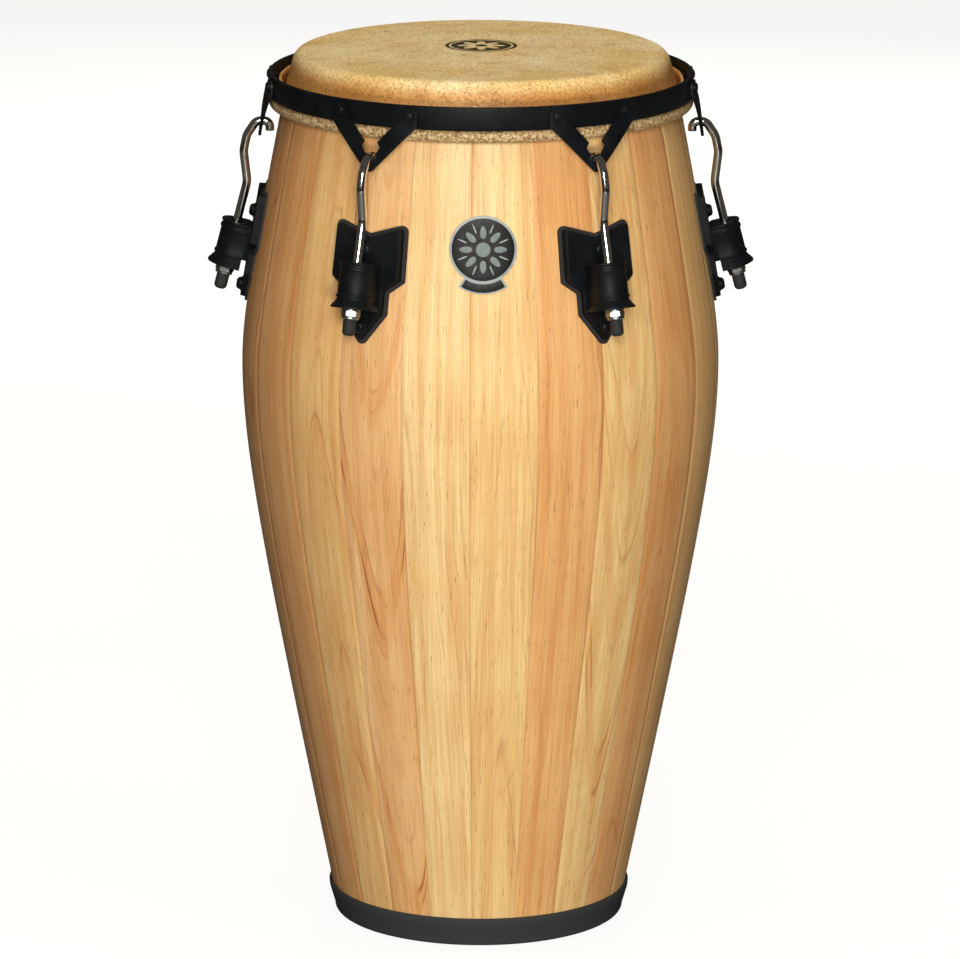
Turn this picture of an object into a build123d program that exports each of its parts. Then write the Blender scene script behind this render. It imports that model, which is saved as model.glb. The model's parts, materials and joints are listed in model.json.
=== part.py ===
from build123d import *
import os
from math import acos, atan, atan2, cos, degrees, hypot, pi, radians, sin, sqrt, tan

# A conga drum: a barrel of glued wooden staves with a rawhide head, which a steel rim pulls down
# on six tension hooks. Sizes are in millimetres. The origin is the centre of the foot on the
# floor, +Z is up, and the front of the drum, where the badge sits, faces -Y.

# ---- Shell -------------------------------------------------------------------------------------
total_height = 711.0
foot_radius = 115.3  # the lower flank's outer radius where it would meet the floor
belly_radius = 191.9
belly_height = total_height - 253.0
top_radius = 150.75  # the upper flank's outer radius where it would meet the total height
lower_belly_softness = 20.4  # larger rounds the turn from flank to belly more
upper_belly_softness = 10.0
flank_top = total_height - 56.0  # above this the wood turns in under the head
stave_count = 22
stave_thickness = 13.0
first_joint_angle = -3.1  # one glue joint, from the front towards +X
ring_thickness = 9.0  # the two wooden rings glued inside the shell
top_ring_span = (flank_top, total_height - 11.0)
foot_ring_height = 38.0

# ---- Rubber foot -------------------------------------------------------------------------------
rubber_floor = 7.0  # rubber under the wood
rubber_lip_height = 24.0
rubber_lip_wall = 2.5
rubber_inner_lip_height = 18.0
rubber_inner_wall = 2.3
rubber_corner_height = 7.5
rubber_corner_width = 5.0
rubber_corner_middle = (1.2, 2.75)  # in from the wall and up from the floor
rubber_inner_chamfer = 1.0
foot_chamfer = 2.0

# ---- Head, flesh ring and rim ------------------------------------------------------------------
head_radius = 151.0  # over the rounded edge of the playing face
head_roundover = 10.0
skin_thickness = 2.2
seat_gap = 0.1  # between skin and bearing edge
fold_gap = 0.3  # between the skin and the steel that moves with the rim
fold_height = total_height - 32.0  # where the skin leaves the shell for the flesh ring
fold_rounds = (10.0, 6.0)  # of the skin's middle where it leaves the shell and turns down
fold_straight = 2.5  # how far above the ring's middle the second of them turns
fold_corner_slack = 0.1  # keeps a short straight run between two of the fold's corners
flesh_ring_height = total_height - 40.1
flesh_ring_width = 5.6
flesh_ring_depth = 4.6
flesh_ring_gap = 0.9  # between the fold and the shell
trimmed_edge_height = total_height - 21.5
trimmed_edge_lean = 2.0
trimmed_edge_round = 2.0
rim_inset = 1.6  # the rim's inner wall, outside the flesh ring's middle
rim_thickness = 3.7
rim_height = 18.6
rim_edge_round = 1.1

# ---- Claw plates -------------------------------------------------------------------------------
lug_count = 6
first_lug_angle = 30.0  # from the front towards +X
plate_gap = 0.05  # between two painted steel faces that lie on each other
claw_thickness = 2.5
claw_rivet_spread = 62.0
claw_rivet_drop = 8.6  # below the rim's top edge
claw_ear_radius = 6.6
claw_drop = 53.2  # from the rim's top edge to the bottom of the V
claw_joggle = 1.75  # how far the V stands out from its ears
claw_joggle_start = 4.6  # below the rivets
claw_joggle_height = 3.2
claw_bend_round = 2.5
claw_flare = 7.0  # degrees that the V leans out
claw_tip_half_width = 2.4
claw_tip_round = 3.0
claw_mouth = (8.7, 7.2)  # the pocket's mouth: sideways, and above the pocket's centre
claw_crotch = (6.1, 11.0)  # where the arms part above it
claw_arm_width = 19.6  # sideways from the centre to the top of an arm's inner edge
pocket_radius = 4.2
pocket_rise = 12.2  # centre of the pocket's round seat above the bottom of the V
rivet_radius = 2.5
rivet_head_radius = 4.2
rivet_head_height = 2.6
rivet_head_fullness = 0.9  # share of the head's height that is rounded
rivet_tail_radius = 3.8
rivet_tail_height = 1.0

# ---- Side plates -------------------------------------------------------------------------------
lug_height = total_height - 157.0  # centre of each side plate
gasket_thickness = 2.0
gasket_margin = 2.4  # how far the gasket shows round its plate
plate_front = 5.5  # flat front of the plate, above the shell at its centre
plate_draft = 5.0
plate_edge_round = 1.0
plate_horn = (31.5, 48.6)  # corners: sideways from the centre line, upwards from the centre
plate_notch = 38.4
plate_shoulder = (32.5, 2.5)
plate_waist = (20.2, -7.1)
plate_hip = (20.2, -23.9)
plate_tip = -51.6
plate_tip_round = 5.0
plate_hip_round = 3.0
plate_inner_round = 2.0
bolt_places = (26.0, -35.0)
bolt_radius = 3.0
bolt_clearance = 0.1
bolt_flange_radius = 6.0
bolt_flange_height = 0.9
bolt_head_radius = 5.1
bolt_head_height = 3.6
bolt_head_fullness = 0.88  # share of the head's height that is rounded
bolt_tail = 2.0  # thread that stands out of the inner nut
saddle_washer_radius = 9.0
saddle_washer_thickness = 2.0
inner_nut_across_flats = 10.0
inner_nut_height = 5.0

# ---- Receiver barrels, hooks and nuts ----------------------------------------------------------
barrel_bottom_height = total_height - 174.1
barrel_standoff = 21.3  # hook axis from the shell at the barrel's bottom
hook_tilt = 14.5  # degrees that the hook's axis leans out going down
barrel_width = 28.4
barrel_length = 36.5
barrel_front_offset = 3.0  # the round front's centre lies this far behind the axis
barrel_back = 11.0
barrel_bore = 4.6
web_width = 24.0
web_start = 8.0
rib_bands = ((8.6, 10.6), (29.4, 32.0), (34.4, 36.5))
rib_rise = 0.9
rib_chamfer = 0.36
flare_height = 7.0
flare_lip = 1.3
flare_rise = 4.0
rod_radius = 3.5
thread_radius = 4.0
thread_clearance = 0.05
thread_chamfer = 0.5
thread_above = 18.0  # thread that reaches up into the barrel
hook_seat_gap = 0.3
hook_reach = 5.6  # rod tip behind the claw plate
hook_tip_drop = 7.8
hook_shoulder = ((2.8, 0.0), (10.5, -11.5), (13.1, -24.3))  # bends: out from the claw, and up
hook_bend_rise = 33.0  # lower bend above the barrel's top
hook_bend_rounds = (5.0, 7.0, 15.0, 20.0, 20.0)  # from the tip down
washer_radius = 7.6
washer_thickness = 1.2
nut_gap = 0.1
nut_across_flats = 13.0
nut_hex_height = 4.6
nut_collar_radius = 6.9
nut_collar_height = 2.1
cap_radius = 5.2
cap_length = 12.8
cap_gap = 0.2
cap_bottom = 2.0
cap_round = 3.4

# ---- Badge -------------------------------------------------------------------------------------
badge_height = total_height - 127.3
badge_radius = 26.3
badge_thickness = 1.8
ribbon_radius = 34.8
ribbon_overlap = 2.0
ribbon_half_angle = 34.0


# ---- Shell outline -----------------------------------------------------------------------------
def flank(z):
    """Drop, softness and length of the flank that height z lies on."""
    if z < belly_height:
        return belly_radius - foot_radius, lower_belly_softness, belly_height
    return belly_radius - top_radius, upper_belly_softness, total_height - belly_height


def flank_slope(z):
    """Slope that the flank at height z runs towards, away from the belly."""
    drop, softness, length = flank(z)
    return sqrt((drop + softness) ** 2 - softness**2) / length


def shell_radius(z):
    """Outer radius of the shell: two straight flanks joined by a rounded belly."""
    softness = flank(z)[1]
    return belly_radius + softness - hypot(flank_slope(z) * (z - belly_height), softness)


def shell_lean(z):
    """Degrees that the shell's surface leans in, going up, at height z."""
    rise = flank_slope(z) * (z - belly_height)
    return degrees(atan(flank_slope(z) * rise / hypot(rise, flank(z)[1])))


def turned(outline):
    """Closed lines in (radius, height) turned round the drum's axis."""
    return revolve(Plane.XZ * make_face(outline), Axis.Z)


def barrel_of(offset):
    """A solid of the shell's shape with its outside moved out by offset."""
    stations = 12
    heights = [total_height * i / stations for i in range(stations + 1)]
    wall = Spline(*[(shell_radius(z) + offset, z) for z in heights])
    return turned([wall, Polyline(wall @ 1, (0, total_height), (0, 0), wall @ 0)])


def slab(bottom, top, radius):
    """A round slab between two heights."""
    return Pos(0, 0, (bottom + top) / 2) * Cylinder(radius, top - bottom)


def around(angle):
    """Turns what lies towards +X to an angle from the front, towards +X."""
    return Rot(0, 0, angle - 90)


# ---- Bearing edge and skirt --------------------------------------------------------------------
edge_centre = (head_radius - head_roundover, total_height - head_roundover)
edge_round = head_roundover - skin_thickness - seat_gap
wood_top = edge_centre[1] + edge_round
skirt_start = (shell_radius(flank_top), flank_top)
skirt_run = (skirt_start[0] - edge_centre[0], skirt_start[1] - edge_centre[1])
skirt_angle = atan2(skirt_run[1], skirt_run[0]) + acos(edge_round / hypot(*skirt_run))


def edge_point(radius, angle):
    """A point round the centre of the bearing edge's rounding."""
    return (edge_centre[0] + radius * cos(angle), edge_centre[1] + radius * sin(angle))


def skirt_radius(z, offset):
    """Radius of the straight skirt under the head, moved out by offset."""
    tangent = edge_point(edge_round + offset, skirt_angle)
    return tangent[0] + (tangent[1] - z) * tan(skirt_angle)


def skirt_corner(radius):
    """The point where the skirt's line, run on downwards, reaches a radius."""
    tangent = edge_point(edge_round, skirt_angle)
    return (radius, tangent[1] - (radius - tangent[0]) / tan(skirt_angle))


def wood_blank():
    """The shell as one solid block: chamfered foot, flanks and rounded bearing edge."""
    toe = shell_radius(rubber_floor) - foot_chamfer
    flare = 1.2 * belly_radius - toe
    edge = ThreePointArc(
        edge_point(edge_round, skirt_angle),
        edge_point(edge_round, (skirt_angle + pi / 2) / 2),
        edge_point(edge_round, pi / 2),
    )
    ends = Polyline(
        edge @ 1,
        (0, wood_top),
        (0, rubber_floor),
        (toe, rubber_floor),
        (toe + flare, rubber_floor + flare),
        (toe + flare, skirt_corner(toe + flare)[1]),
        edge @ 0,
    )
    return barrel_of(0) & turned([edge, ends])


def cavity():
    """The space inside the staves."""
    return barrel_of(-stave_thickness)


# ---- Strips that follow a bent path, for the head and the claws ---------------------------------
def turn_at(points, i):
    """Cross product of the runs before and after point i: positive where the path turns left."""
    (ax, ay), (bx, by), (cx, cy) = points[i - 1 : i + 2]
    return (bx - ax) * (cy - by) - (by - ay) * (cx - bx)


def side_path(points, radii, distance):
    """A filleted path that runs beside another, distance to its left."""
    moved = []
    for i, (x, y) in enumerate(points):
        before = points[max(i - 1, 0) : max(i - 1, 0) + 2]
        after = points[min(i, len(points) - 2) : min(i, len(points) - 2) + 2]
        angles = [atan2(b[1] - a[1], b[0] - a[0]) for a, b in (before, after)]
        middle = (angles[0] + angles[1]) / 2
        if abs(angles[0] - angles[1]) > pi:
            middle += pi
        reach = distance / cos(angles[0] - middle)
        moved.append((x - reach * sin(middle), y + reach * cos(middle)))
    rounds = []
    for i, radius in enumerate(radii):
        left = turn_at(points, i + 1) > 0
        rounds.append(radius - distance if left else radius + distance)
    return FilletPolyline(*moved, radius=rounds)


def strip(points, radii, thickness):
    """A strip of even thickness along a filleted path of (radius, height) points."""
    left = side_path(points, radii, thickness / 2)
    right = side_path(points, radii, -thickness / 2)
    return make_face([left, right, Line(left @ 0, right @ 0), Line(left @ 1, right @ 1)])


# ---- Frames on the shell, laid out towards +X ---------------------------------------------------
def surface_plane(z):
    """A plane on the shell: X sideways, Y up the surface, Z straight out."""
    lean = radians(shell_lean(z))
    return Plane(
        origin=(shell_radius(z), 0, z), x_dir=(0, 1, 0), z_dir=(cos(lean), 0, sin(lean))
    )


lug_plane = surface_plane(lug_height)
tilt = radians(hook_tilt)
axis_foot = (shell_radius(barrel_bottom_height) + barrel_standoff, barrel_bottom_height)
hook_plane = Plane(
    origin=(axis_foot[0], 0, axis_foot[1]),
    x_dir=(cos(tilt), 0, sin(tilt)),
    z_dir=(-sin(tilt), 0, cos(tilt)),
)
lug_angles = [first_lug_angle + 360 / lug_count * i for i in range(lug_count)]


def on_axis(rise):
    """(radius, height) of a point on the hook's axis, above the barrel's bottom."""
    return (axis_foot[0] - rise * sin(tilt), axis_foot[1] + rise * cos(tilt))


def rod(radius, bottom, top):
    """A cylinder on the hook's axis, between two rises above the barrel's bottom."""
    return hook_plane * Pos(0, 0, (bottom + top) / 2) * Cylinder(radius, top - bottom)


def bolt_rod(place, radius, bottom, top):
    """A cylinder on a plate bolt's axis, between two distances from the shell's surface."""
    return lug_plane * Pos(0, place, (bottom + top) / 2) * Cylinder(radius, top - bottom)


def mirrored_outline(half):
    """A face from its right half's points, listed from the top centre to the bottom centre."""
    left = [(-x, y) for x, y in reversed(half[1:-1])]
    return make_face(Polyline(*half, *left, close=True))


def corners_at(face, *points):
    """The face's corners nearest the given points and their mirror images."""
    found = []
    for x, y in points:
        for side in {x, -x}:
            found.append(face.vertices().sort_by_distance((side, y, 0))[0])
    return found


# ---- Shell ---------------------------------------------------------------------------------------
def make_staves():
    """Glued staves that together make the shell, drilled for the plate bolts."""
    step = 360 / stave_count
    reach = 1.5 * belly_radius
    half_width = reach * tan(radians(step / 2))
    wedge = make_face(Polyline((0, 0), (reach, -half_width), (reach, half_width), close=True))
    stave = (wood_blank() - cavity()) & extrude(wedge, total_height)
    staves = []
    for i in range(stave_count):
        middle = first_joint_angle + (i + 0.5) * step
        near = [angle for angle in lug_angles if abs((angle - middle + 180) % 360 - 180) < step]
        drills = [around(angle) * hole for angle in near for hole in bolt_holes()]
        drilled = around(middle) * stave
        if drills:
            drilled = drilled - drills
        staves.extend(drilled.solids())
    return Compound(children=staves)


def make_wood_ring(bottom, top):
    """A wooden ring glued inside the staves."""
    core = barrel_of(-stave_thickness - ring_thickness)
    return (cavity() & slab(bottom, top, belly_radius)) - core


def make_rubber_foot():
    """A rubber channel pushed on over the shell's bottom edge."""
    lip_radius = shell_radius(rubber_lip_height) + rubber_lip_wall
    toe_radius = shell_radius(rubber_floor) + rubber_lip_wall / 2
    bore = shell_radius(rubber_floor) - stave_thickness - ring_thickness
    side = Line((lip_radius, rubber_lip_height), (toe_radius, rubber_corner_height))
    corner = ThreePointArc(
        side @ 1,
        (toe_radius - rubber_corner_middle[0], rubber_corner_middle[1]),
        (toe_radius - rubber_corner_width, 0),
    )
    inner = bore - rubber_inner_wall
    rest = Polyline(
        corner @ 1,
        (inner + rubber_inner_chamfer, 0),
        (inner, rubber_inner_chamfer),
        (inner, rubber_inner_lip_height),
        (bore + stave_thickness, rubber_inner_lip_height),
        (bore + stave_thickness, rubber_lip_height),
        side @ 0,
    )
    channel = turned([side, corner, rest])
    core = barrel_of(-stave_thickness - ring_thickness)
    return channel - (wood_blank() - core)


# ---- Head, flesh ring and rim --------------------------------------------------------------------
fold_half_width = flesh_ring_width / 2 + fold_gap + skin_thickness / 2
fold_half_height = flesh_ring_depth / 2 + fold_gap + skin_thickness / 2
fold_bottom = flesh_ring_height - fold_half_height
fold_top = flesh_ring_height + fold_half_height
fold_in = shell_radius(fold_bottom) + flesh_ring_gap
flesh_ring_radius = fold_in + fold_half_width
fold_out = flesh_ring_radius + fold_half_width
rim_bottom = fold_top + skin_thickness / 2 + fold_gap
rim_top = rim_bottom + rim_height
rim_inner = flesh_ring_radius + rim_inset
rim_outer = rim_inner + rim_thickness


def make_skin():
    """The rawhide head: flat face, skirt down the shell, and a tuck round the flesh ring."""
    middle = seat_gap + skin_thickness / 2
    face_height = total_height - skin_thickness / 2
    fold_corner = fold_half_height - fold_corner_slack
    path = [
        (0, face_height),
        (skirt_radius(face_height, middle), face_height),
        (skirt_radius(fold_height, middle), fold_height),
        (fold_in, flesh_ring_height + fold_straight),
        (fold_in, fold_bottom),
        (fold_out, fold_bottom),
        (fold_out, fold_top),
        (flesh_ring_radius - trimmed_edge_lean, fold_top),
        (flesh_ring_radius - 2 * trimmed_edge_lean, trimmed_edge_height),
    ]
    radii = [edge_round + middle, *fold_rounds, *[fold_corner] * 3, trimmed_edge_round]
    return revolve(Plane.XZ * strip(path, radii, skin_thickness), Axis.Z)


def make_flesh_ring():
    """A steel ring of flat-oval bar inside the head's fold."""
    bar = SlotOverall(flesh_ring_width, flesh_ring_depth)
    return revolve(Plane.XZ * Pos(flesh_ring_radius, flesh_ring_height) * bar, Axis.Z)


rivet_height = rim_top - claw_rivet_drop
rivet_angle = degrees(atan2(claw_rivet_spread / 2, rim_outer))
rivet_turns = [angle + side * rivet_angle for angle in lug_angles for side in (-1, 1)]


def rivet_rod(radius, start, end):
    """A cylinder on a claw rivet's axis, between two radii of the drum."""
    return Pos((start + end) / 2, 0, rivet_height) * Rot(0, 90, 0) * Cylinder(radius, end - start)


def make_rim():
    """The flat steel rim, drilled for the claws' rivets."""
    band = Pos(rim_inner + rim_thickness / 2, (rim_bottom + rim_top) / 2)
    section = band * RectangleRounded(rim_thickness, rim_height, rim_edge_round)
    rim = revolve(Plane.XZ * section, Axis.Z)
    drill = rivet_rod(rivet_radius, rim_inner - rim_thickness, rim_outer + rim_thickness)
    return rim - [around(angle) * drill for angle in rivet_turns]


# ---- Claw plates -----------------------------------------------------------------------------------
claw_bottom = rim_top - claw_drop
claw_middle = rim_outer + plate_gap + claw_thickness / 2
joggle_top = rivet_height - claw_joggle_start
joggle_bottom = joggle_top - claw_joggle_height
pocket_centre = claw_bottom + pocket_rise
pocket_seat = pocket_centre - pocket_radius


def claw_radius(z):
    """Radius of the middle of the claw's flared V at height z."""
    return claw_middle + claw_joggle + (joggle_bottom - z) * tan(radians(claw_flare))


def make_claw():
    """A V-shaped plate that hangs from the rim and catches its hook in a pocket."""
    below = claw_bottom - claw_thickness
    path = [
        (claw_middle, rim_top + claw_thickness),
        (claw_middle, joggle_top),
        (claw_middle + claw_joggle, joggle_bottom),
        (claw_radius(below), below),
    ]
    bends = [claw_bend_round, claw_bend_round]
    sheet = revolve(Plane.XZ * strip(path, bends, claw_thickness), Axis.Z)
    ear = claw_rivet_spread / 2
    half = [
        (0, pocket_centre),
        (pocket_radius, pocket_centre),
        (claw_mouth[0], pocket_centre + claw_mouth[1]),
        (claw_crotch[0], pocket_centre + claw_crotch[1]),
        (claw_arm_width, joggle_bottom + 1),
        (ear - claw_ear_radius, joggle_top + 1),
        (ear - claw_ear_radius, rivet_height),
        (ear + claw_ear_radius, rivet_height),
        (ear + claw_ear_radius, joggle_bottom),
        (claw_tip_half_width, claw_bottom),
        (0, claw_bottom),
    ]
    outline = mirrored_outline(half)
    outline = fillet(corners_at(outline, (claw_tip_half_width, claw_bottom)), claw_tip_round)
    ears = [Pos(side * ear, rivet_height) * Circle(claw_ear_radius) for side in (-1, 1)]
    outline = outline + ears - Pos(0, pocket_centre) * Circle(pocket_radius)
    cutter = extrude(Plane.YZ * outline, 1.5 * rim_outer)
    claw = sheet & cutter
    drill = rivet_rod(rivet_radius, rim_inner, rim_outer + 3 * claw_thickness)
    return claw - [Rot(0, 0, side * rivet_angle) * drill for side in (-1, 1)]


def make_rivet():
    """A rivet with a domed head outside and a flat tail inside the rim."""
    head_seat = claw_middle + claw_thickness / 2
    tail_seat = rim_inner - plate_gap
    head = rivet_rod(rivet_head_radius, head_seat, head_seat + rivet_head_height)
    head = fillet(head.edges().group_by(Axis.X)[-1], rivet_head_height * rivet_head_fullness)
    tail = rivet_rod(rivet_tail_radius, tail_seat - rivet_tail_height, tail_seat)
    tail = chamfer(tail.edges().group_by(Axis.X)[0], rivet_tail_height / 3)
    return head + rivet_rod(rivet_radius, tail_seat, head_seat) + tail


# ---- Side plates -------------------------------------------------------------------------------------
def lug_outline():
    """The gasket's shield outline, with two horns, a waist and a rounded point."""
    half = [(0, plate_notch), plate_horn, plate_shoulder, plate_waist, plate_hip, (0, plate_tip)]
    outline = mirrored_outline(half)
    outline = fillet(corners_at(outline, plate_horn, (0, plate_tip)), plate_tip_round)
    outline = fillet(corners_at(outline, plate_hip), plate_hip_round)
    inner_corners = corners_at(outline, plate_shoulder, plate_waist, (0, plate_notch))
    return fillet(inner_corners, plate_inner_round)


def bolt_holes():
    """Clearance holes for one lug's two plate bolts."""
    return [
        bolt_rod(place, bolt_radius + bolt_clearance, -2 * stave_thickness, stave_thickness)
        for place in bolt_places
    ]


def make_gasket():
    """A thin gasket between side plate and shell, curved with the shell."""
    prism = lug_plane * Pos(0, 0, -stave_thickness) * extrude(lug_outline(), 2 * stave_thickness)
    return (prism & barrel_of(gasket_thickness)) - barrel_of(0) - bolt_holes()


def make_side_plate():
    """A cast plate with a flat front and a back that fits the gasket's curve."""
    behind = -2.0 * gasket_thickness
    outline = offset(lug_outline(), -gasket_margin)
    plate = extrude(Pos(0, 0, behind) * outline, plate_front - behind, taper=plate_draft)
    plate = fillet(plate.faces().sort_by(Axis.Z)[-1].edges(), plate_edge_round)
    return lug_plane * plate - barrel_of(gasket_thickness) - bolt_holes()


def make_plate_bolt(place):
    """A dome-headed bolt from the plate's front through the stave."""
    neck = plate_front + bolt_flange_height
    tail = -inner_face(place) - saddle_washer_thickness - inner_nut_height - bolt_tail
    head = Pos(0, 0, neck + bolt_head_height / 2) * Cylinder(bolt_head_radius, bolt_head_height)
    head = fillet(head.edges().sort_by(Axis.Z)[-1], bolt_head_height * bolt_head_fullness)
    head = lug_plane * Pos(0, place, 0) * head
    flange = bolt_rod(place, bolt_flange_radius, plate_front, neck)
    return head + flange + bolt_rod(place, bolt_radius, tail, plate_front)


def inner_face(place):
    """Depth of the shell's inner wall behind the lug plane, where a bolt comes through."""
    height = lug_height + place * cos(radians(shell_lean(lug_height)))
    level = lug_plane.to_local_coords(Vector(shell_radius(height) - stave_thickness, 0, height))
    return -level.Z


def make_saddle_washer(place):
    """A washer inside the shell, curved on one side to fit the wall."""
    flat = -inner_face(place) - saddle_washer_thickness
    blank = bolt_rod(place, saddle_washer_radius, flat, 0) & cavity()
    return blank - bolt_rod(place, bolt_radius + bolt_clearance, 2 * flat, 0)


def hex_prism(across_flats, height):
    """A hexagonal prism that stands on the origin."""
    return extrude(RegularPolygon(across_flats / 2, 6, major_radius=False), height)


def make_inner_nut(place):
    """The nut on a plate bolt, inside the shell."""
    start = -inner_face(place) - saddle_washer_thickness - inner_nut_height
    nut = lug_plane * Pos(0, place, start) * hex_prism(inner_nut_across_flats, inner_nut_height)
    return nut - bolt_rod(place, bolt_radius, start - 1, start + inner_nut_height + 1)


# ---- Receiver barrels, hooks and nuts ----------------------------------------------------------------
def barrel_section(extra):
    """Section across the barrel: a round front, straight sides and a flat back."""
    half = barrel_width / 2 + extra
    sides = barrel_back - barrel_front_offset
    front = Pos(-barrel_front_offset, 0) * Circle(half)
    block = Pos(-barrel_front_offset - sides / 2, 0) * Rectangle(sides, 2 * half)
    behind = Pos(-barrel_back - half, 0) * Rectangle(2 * half, 4 * half)
    return front + block - behind


def make_barrel():
    """A D-shaped receiver with ribs and a flared skirt, webbed to the side plate."""
    body = extrude(barrel_section(0), barrel_length)
    for low, high in rib_bands:
        band = extrude(Pos(0, 0, low) * barrel_section(rib_rise), high - low)
        body = body + chamfer(band.edges().filter_by(Plane.XY), rib_chamfer)
    lip = extrude(barrel_section(flare_rise), flare_lip)
    skirt_foot = Pos(0, 0, flare_lip) * barrel_section(flare_rise)
    skirt = loft([skirt_foot, Pos(0, 0, flare_height) * barrel_section(0)])
    web = Pos(-barrel_back, 0, (web_start + barrel_length) / 2) * Box(
        2 * barrel_back, web_width, barrel_length - web_start
    )
    barrel = hook_plane * (body + lip + skirt + web)
    room = 4 * barrel_length
    behind = lug_plane * Pos(0, 0, plate_front - room / 2) * Box(room, room, room)
    return barrel - behind - rod(barrel_bore, -1, barrel_length + 1)


washer_bottom = -washer_thickness
nut_top = washer_bottom - nut_gap
collar_top = nut_top - nut_hex_height
nut_bottom = collar_top - nut_collar_height
cap_top = nut_bottom - cap_gap
cap_end = cap_top - cap_length


def make_barrel_washer():
    """The flat washer under the barrel."""
    return rod(washer_radius, washer_bottom, 0) - rod(barrel_bore, washer_bottom - 1, 1)


def make_tuning_nut():
    """A hexagonal nut with a round collar below."""
    hexagon = hook_plane * Pos(0, 0, collar_top) * hex_prism(nut_across_flats, nut_hex_height)
    collar = rod(nut_collar_radius, nut_bottom, collar_top)
    bore = rod(thread_radius + thread_clearance, nut_bottom - 1, nut_top + 1)
    return hexagon + collar - bore


def make_hook():
    """A bent rod: tip behind the claw, bend over its pocket, and a threaded straight end."""
    seat = pocket_seat + hook_seat_gap + rod_radius
    face = claw_radius(seat) + claw_thickness / 2
    tip = claw_radius(seat) - claw_thickness / 2 - hook_reach
    path = FilletPolyline(
        (tip, seat - hook_tip_drop),
        (tip, seat),
        *[(face + out, seat + up) for out, up in hook_shoulder],
        on_axis(barrel_length + hook_bend_rise),
        on_axis(thread_above),
        radius=hook_bend_rounds,
    )
    spine = Plane.XZ * path
    bent = sweep(Plane(origin=spine @ 0, z_dir=spine % 0) * Circle(rod_radius), path=spine)
    thread = rod(thread_radius, cap_end + cap_bottom, thread_above)
    return bent + chamfer(thread.edges(), thread_chamfer)


def make_cap():
    """A blind end cap with a rounded end, pressed on the thread."""
    cap = Pos(0, 0, (cap_top + cap_end) / 2) * Cylinder(cap_radius, cap_length)
    cap = hook_plane * fillet(cap.edges().sort_by(Axis.Z)[0], cap_round)
    return cap - rod(thread_radius, cap_end + cap_bottom, cap_top + 1)


# ---- Badge -------------------------------------------------------------------------------------------
def make_badge():
    """A round badge with a curved ribbon below it, bent to the shell."""
    half = radians(ribbon_half_angle)
    disc = Circle(badge_radius)
    inner = badge_radius - ribbon_overlap
    sector = make_face(
        Polyline(
            (0, 0),
            (-2 * ribbon_radius * tan(half), -2 * ribbon_radius),
            (2 * ribbon_radius * tan(half), -2 * ribbon_radius),
            close=True,
        )
    )
    ribbon = (Circle(ribbon_radius) - Circle(inner)) & sector
    prism = surface_plane(badge_height) * Pos(0, 0, -stave_thickness) * extrude(
        disc + ribbon, 2 * stave_thickness
    )
    return around(0) * ((prism & barrel_of(badge_thickness)) - barrel_of(0))


# ---- Assembly ----------------------------------------------------------------------------------------
def gathered(shapes):
    """Separate solids in one node."""
    return Compound(children=[solid for shape in shapes for solid in shape.solids()])


parts = {
    "shell_staves": make_staves(),
    "shell_top_ring": make_wood_ring(*top_ring_span),
    "shell_foot_ring": make_wood_ring(rubber_floor, rubber_floor + foot_ring_height),
    "rubber_foot": make_rubber_foot(),
    "drum_skin": make_skin(),
    "flesh_ring": make_flesh_ring(),
    "rim": make_rim(),
    "claw_rivets": gathered([around(angle) * make_rivet() for angle in rivet_turns]),
    "badge": make_badge(),
}
at_each_lug = {
    "claw_plate": make_claw(),
    "plate_gasket": make_gasket(),
    "side_plate": make_side_plate(),
    "hook_barrel": make_barrel(),
    "tension_hook": make_hook(),
    "tuning_nut": make_tuning_nut(),
    "hook_cap": make_cap(),
}
for name, shape in at_each_lug.items():
    for number, angle in enumerate(lug_angles, start=1):
        parts[f"{name}_{number}"] = around(angle) * shape
at_all_lugs = {
    "barrel_washers": [make_barrel_washer()],
    "plate_bolts": [make_plate_bolt(place) for place in bolt_places],
    "saddle_washers": [make_saddle_washer(place) for place in bolt_places],
    "plate_bolt_nuts": [make_inner_nut(place) for place in bolt_places],
}
for name, shapes in at_all_lugs.items():
    parts[name] = gathered([around(angle) * shape for angle in lug_angles for shape in shapes])

os.makedirs("parts", exist_ok=True)
for name, shape in parts.items():
    export_step(shape, f"parts/{name}.step")
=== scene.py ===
"""The looks of a conga drum: a staved wooden shell, a rawhide head and black tuning hardware."""

import json
import logging
import math
from collections.abc import Callable
from dataclasses import dataclass
from enum import Enum
from typing import Any

import bmesh
import bpy
import numpy as np
from mathutils import Matrix, Vector


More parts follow.
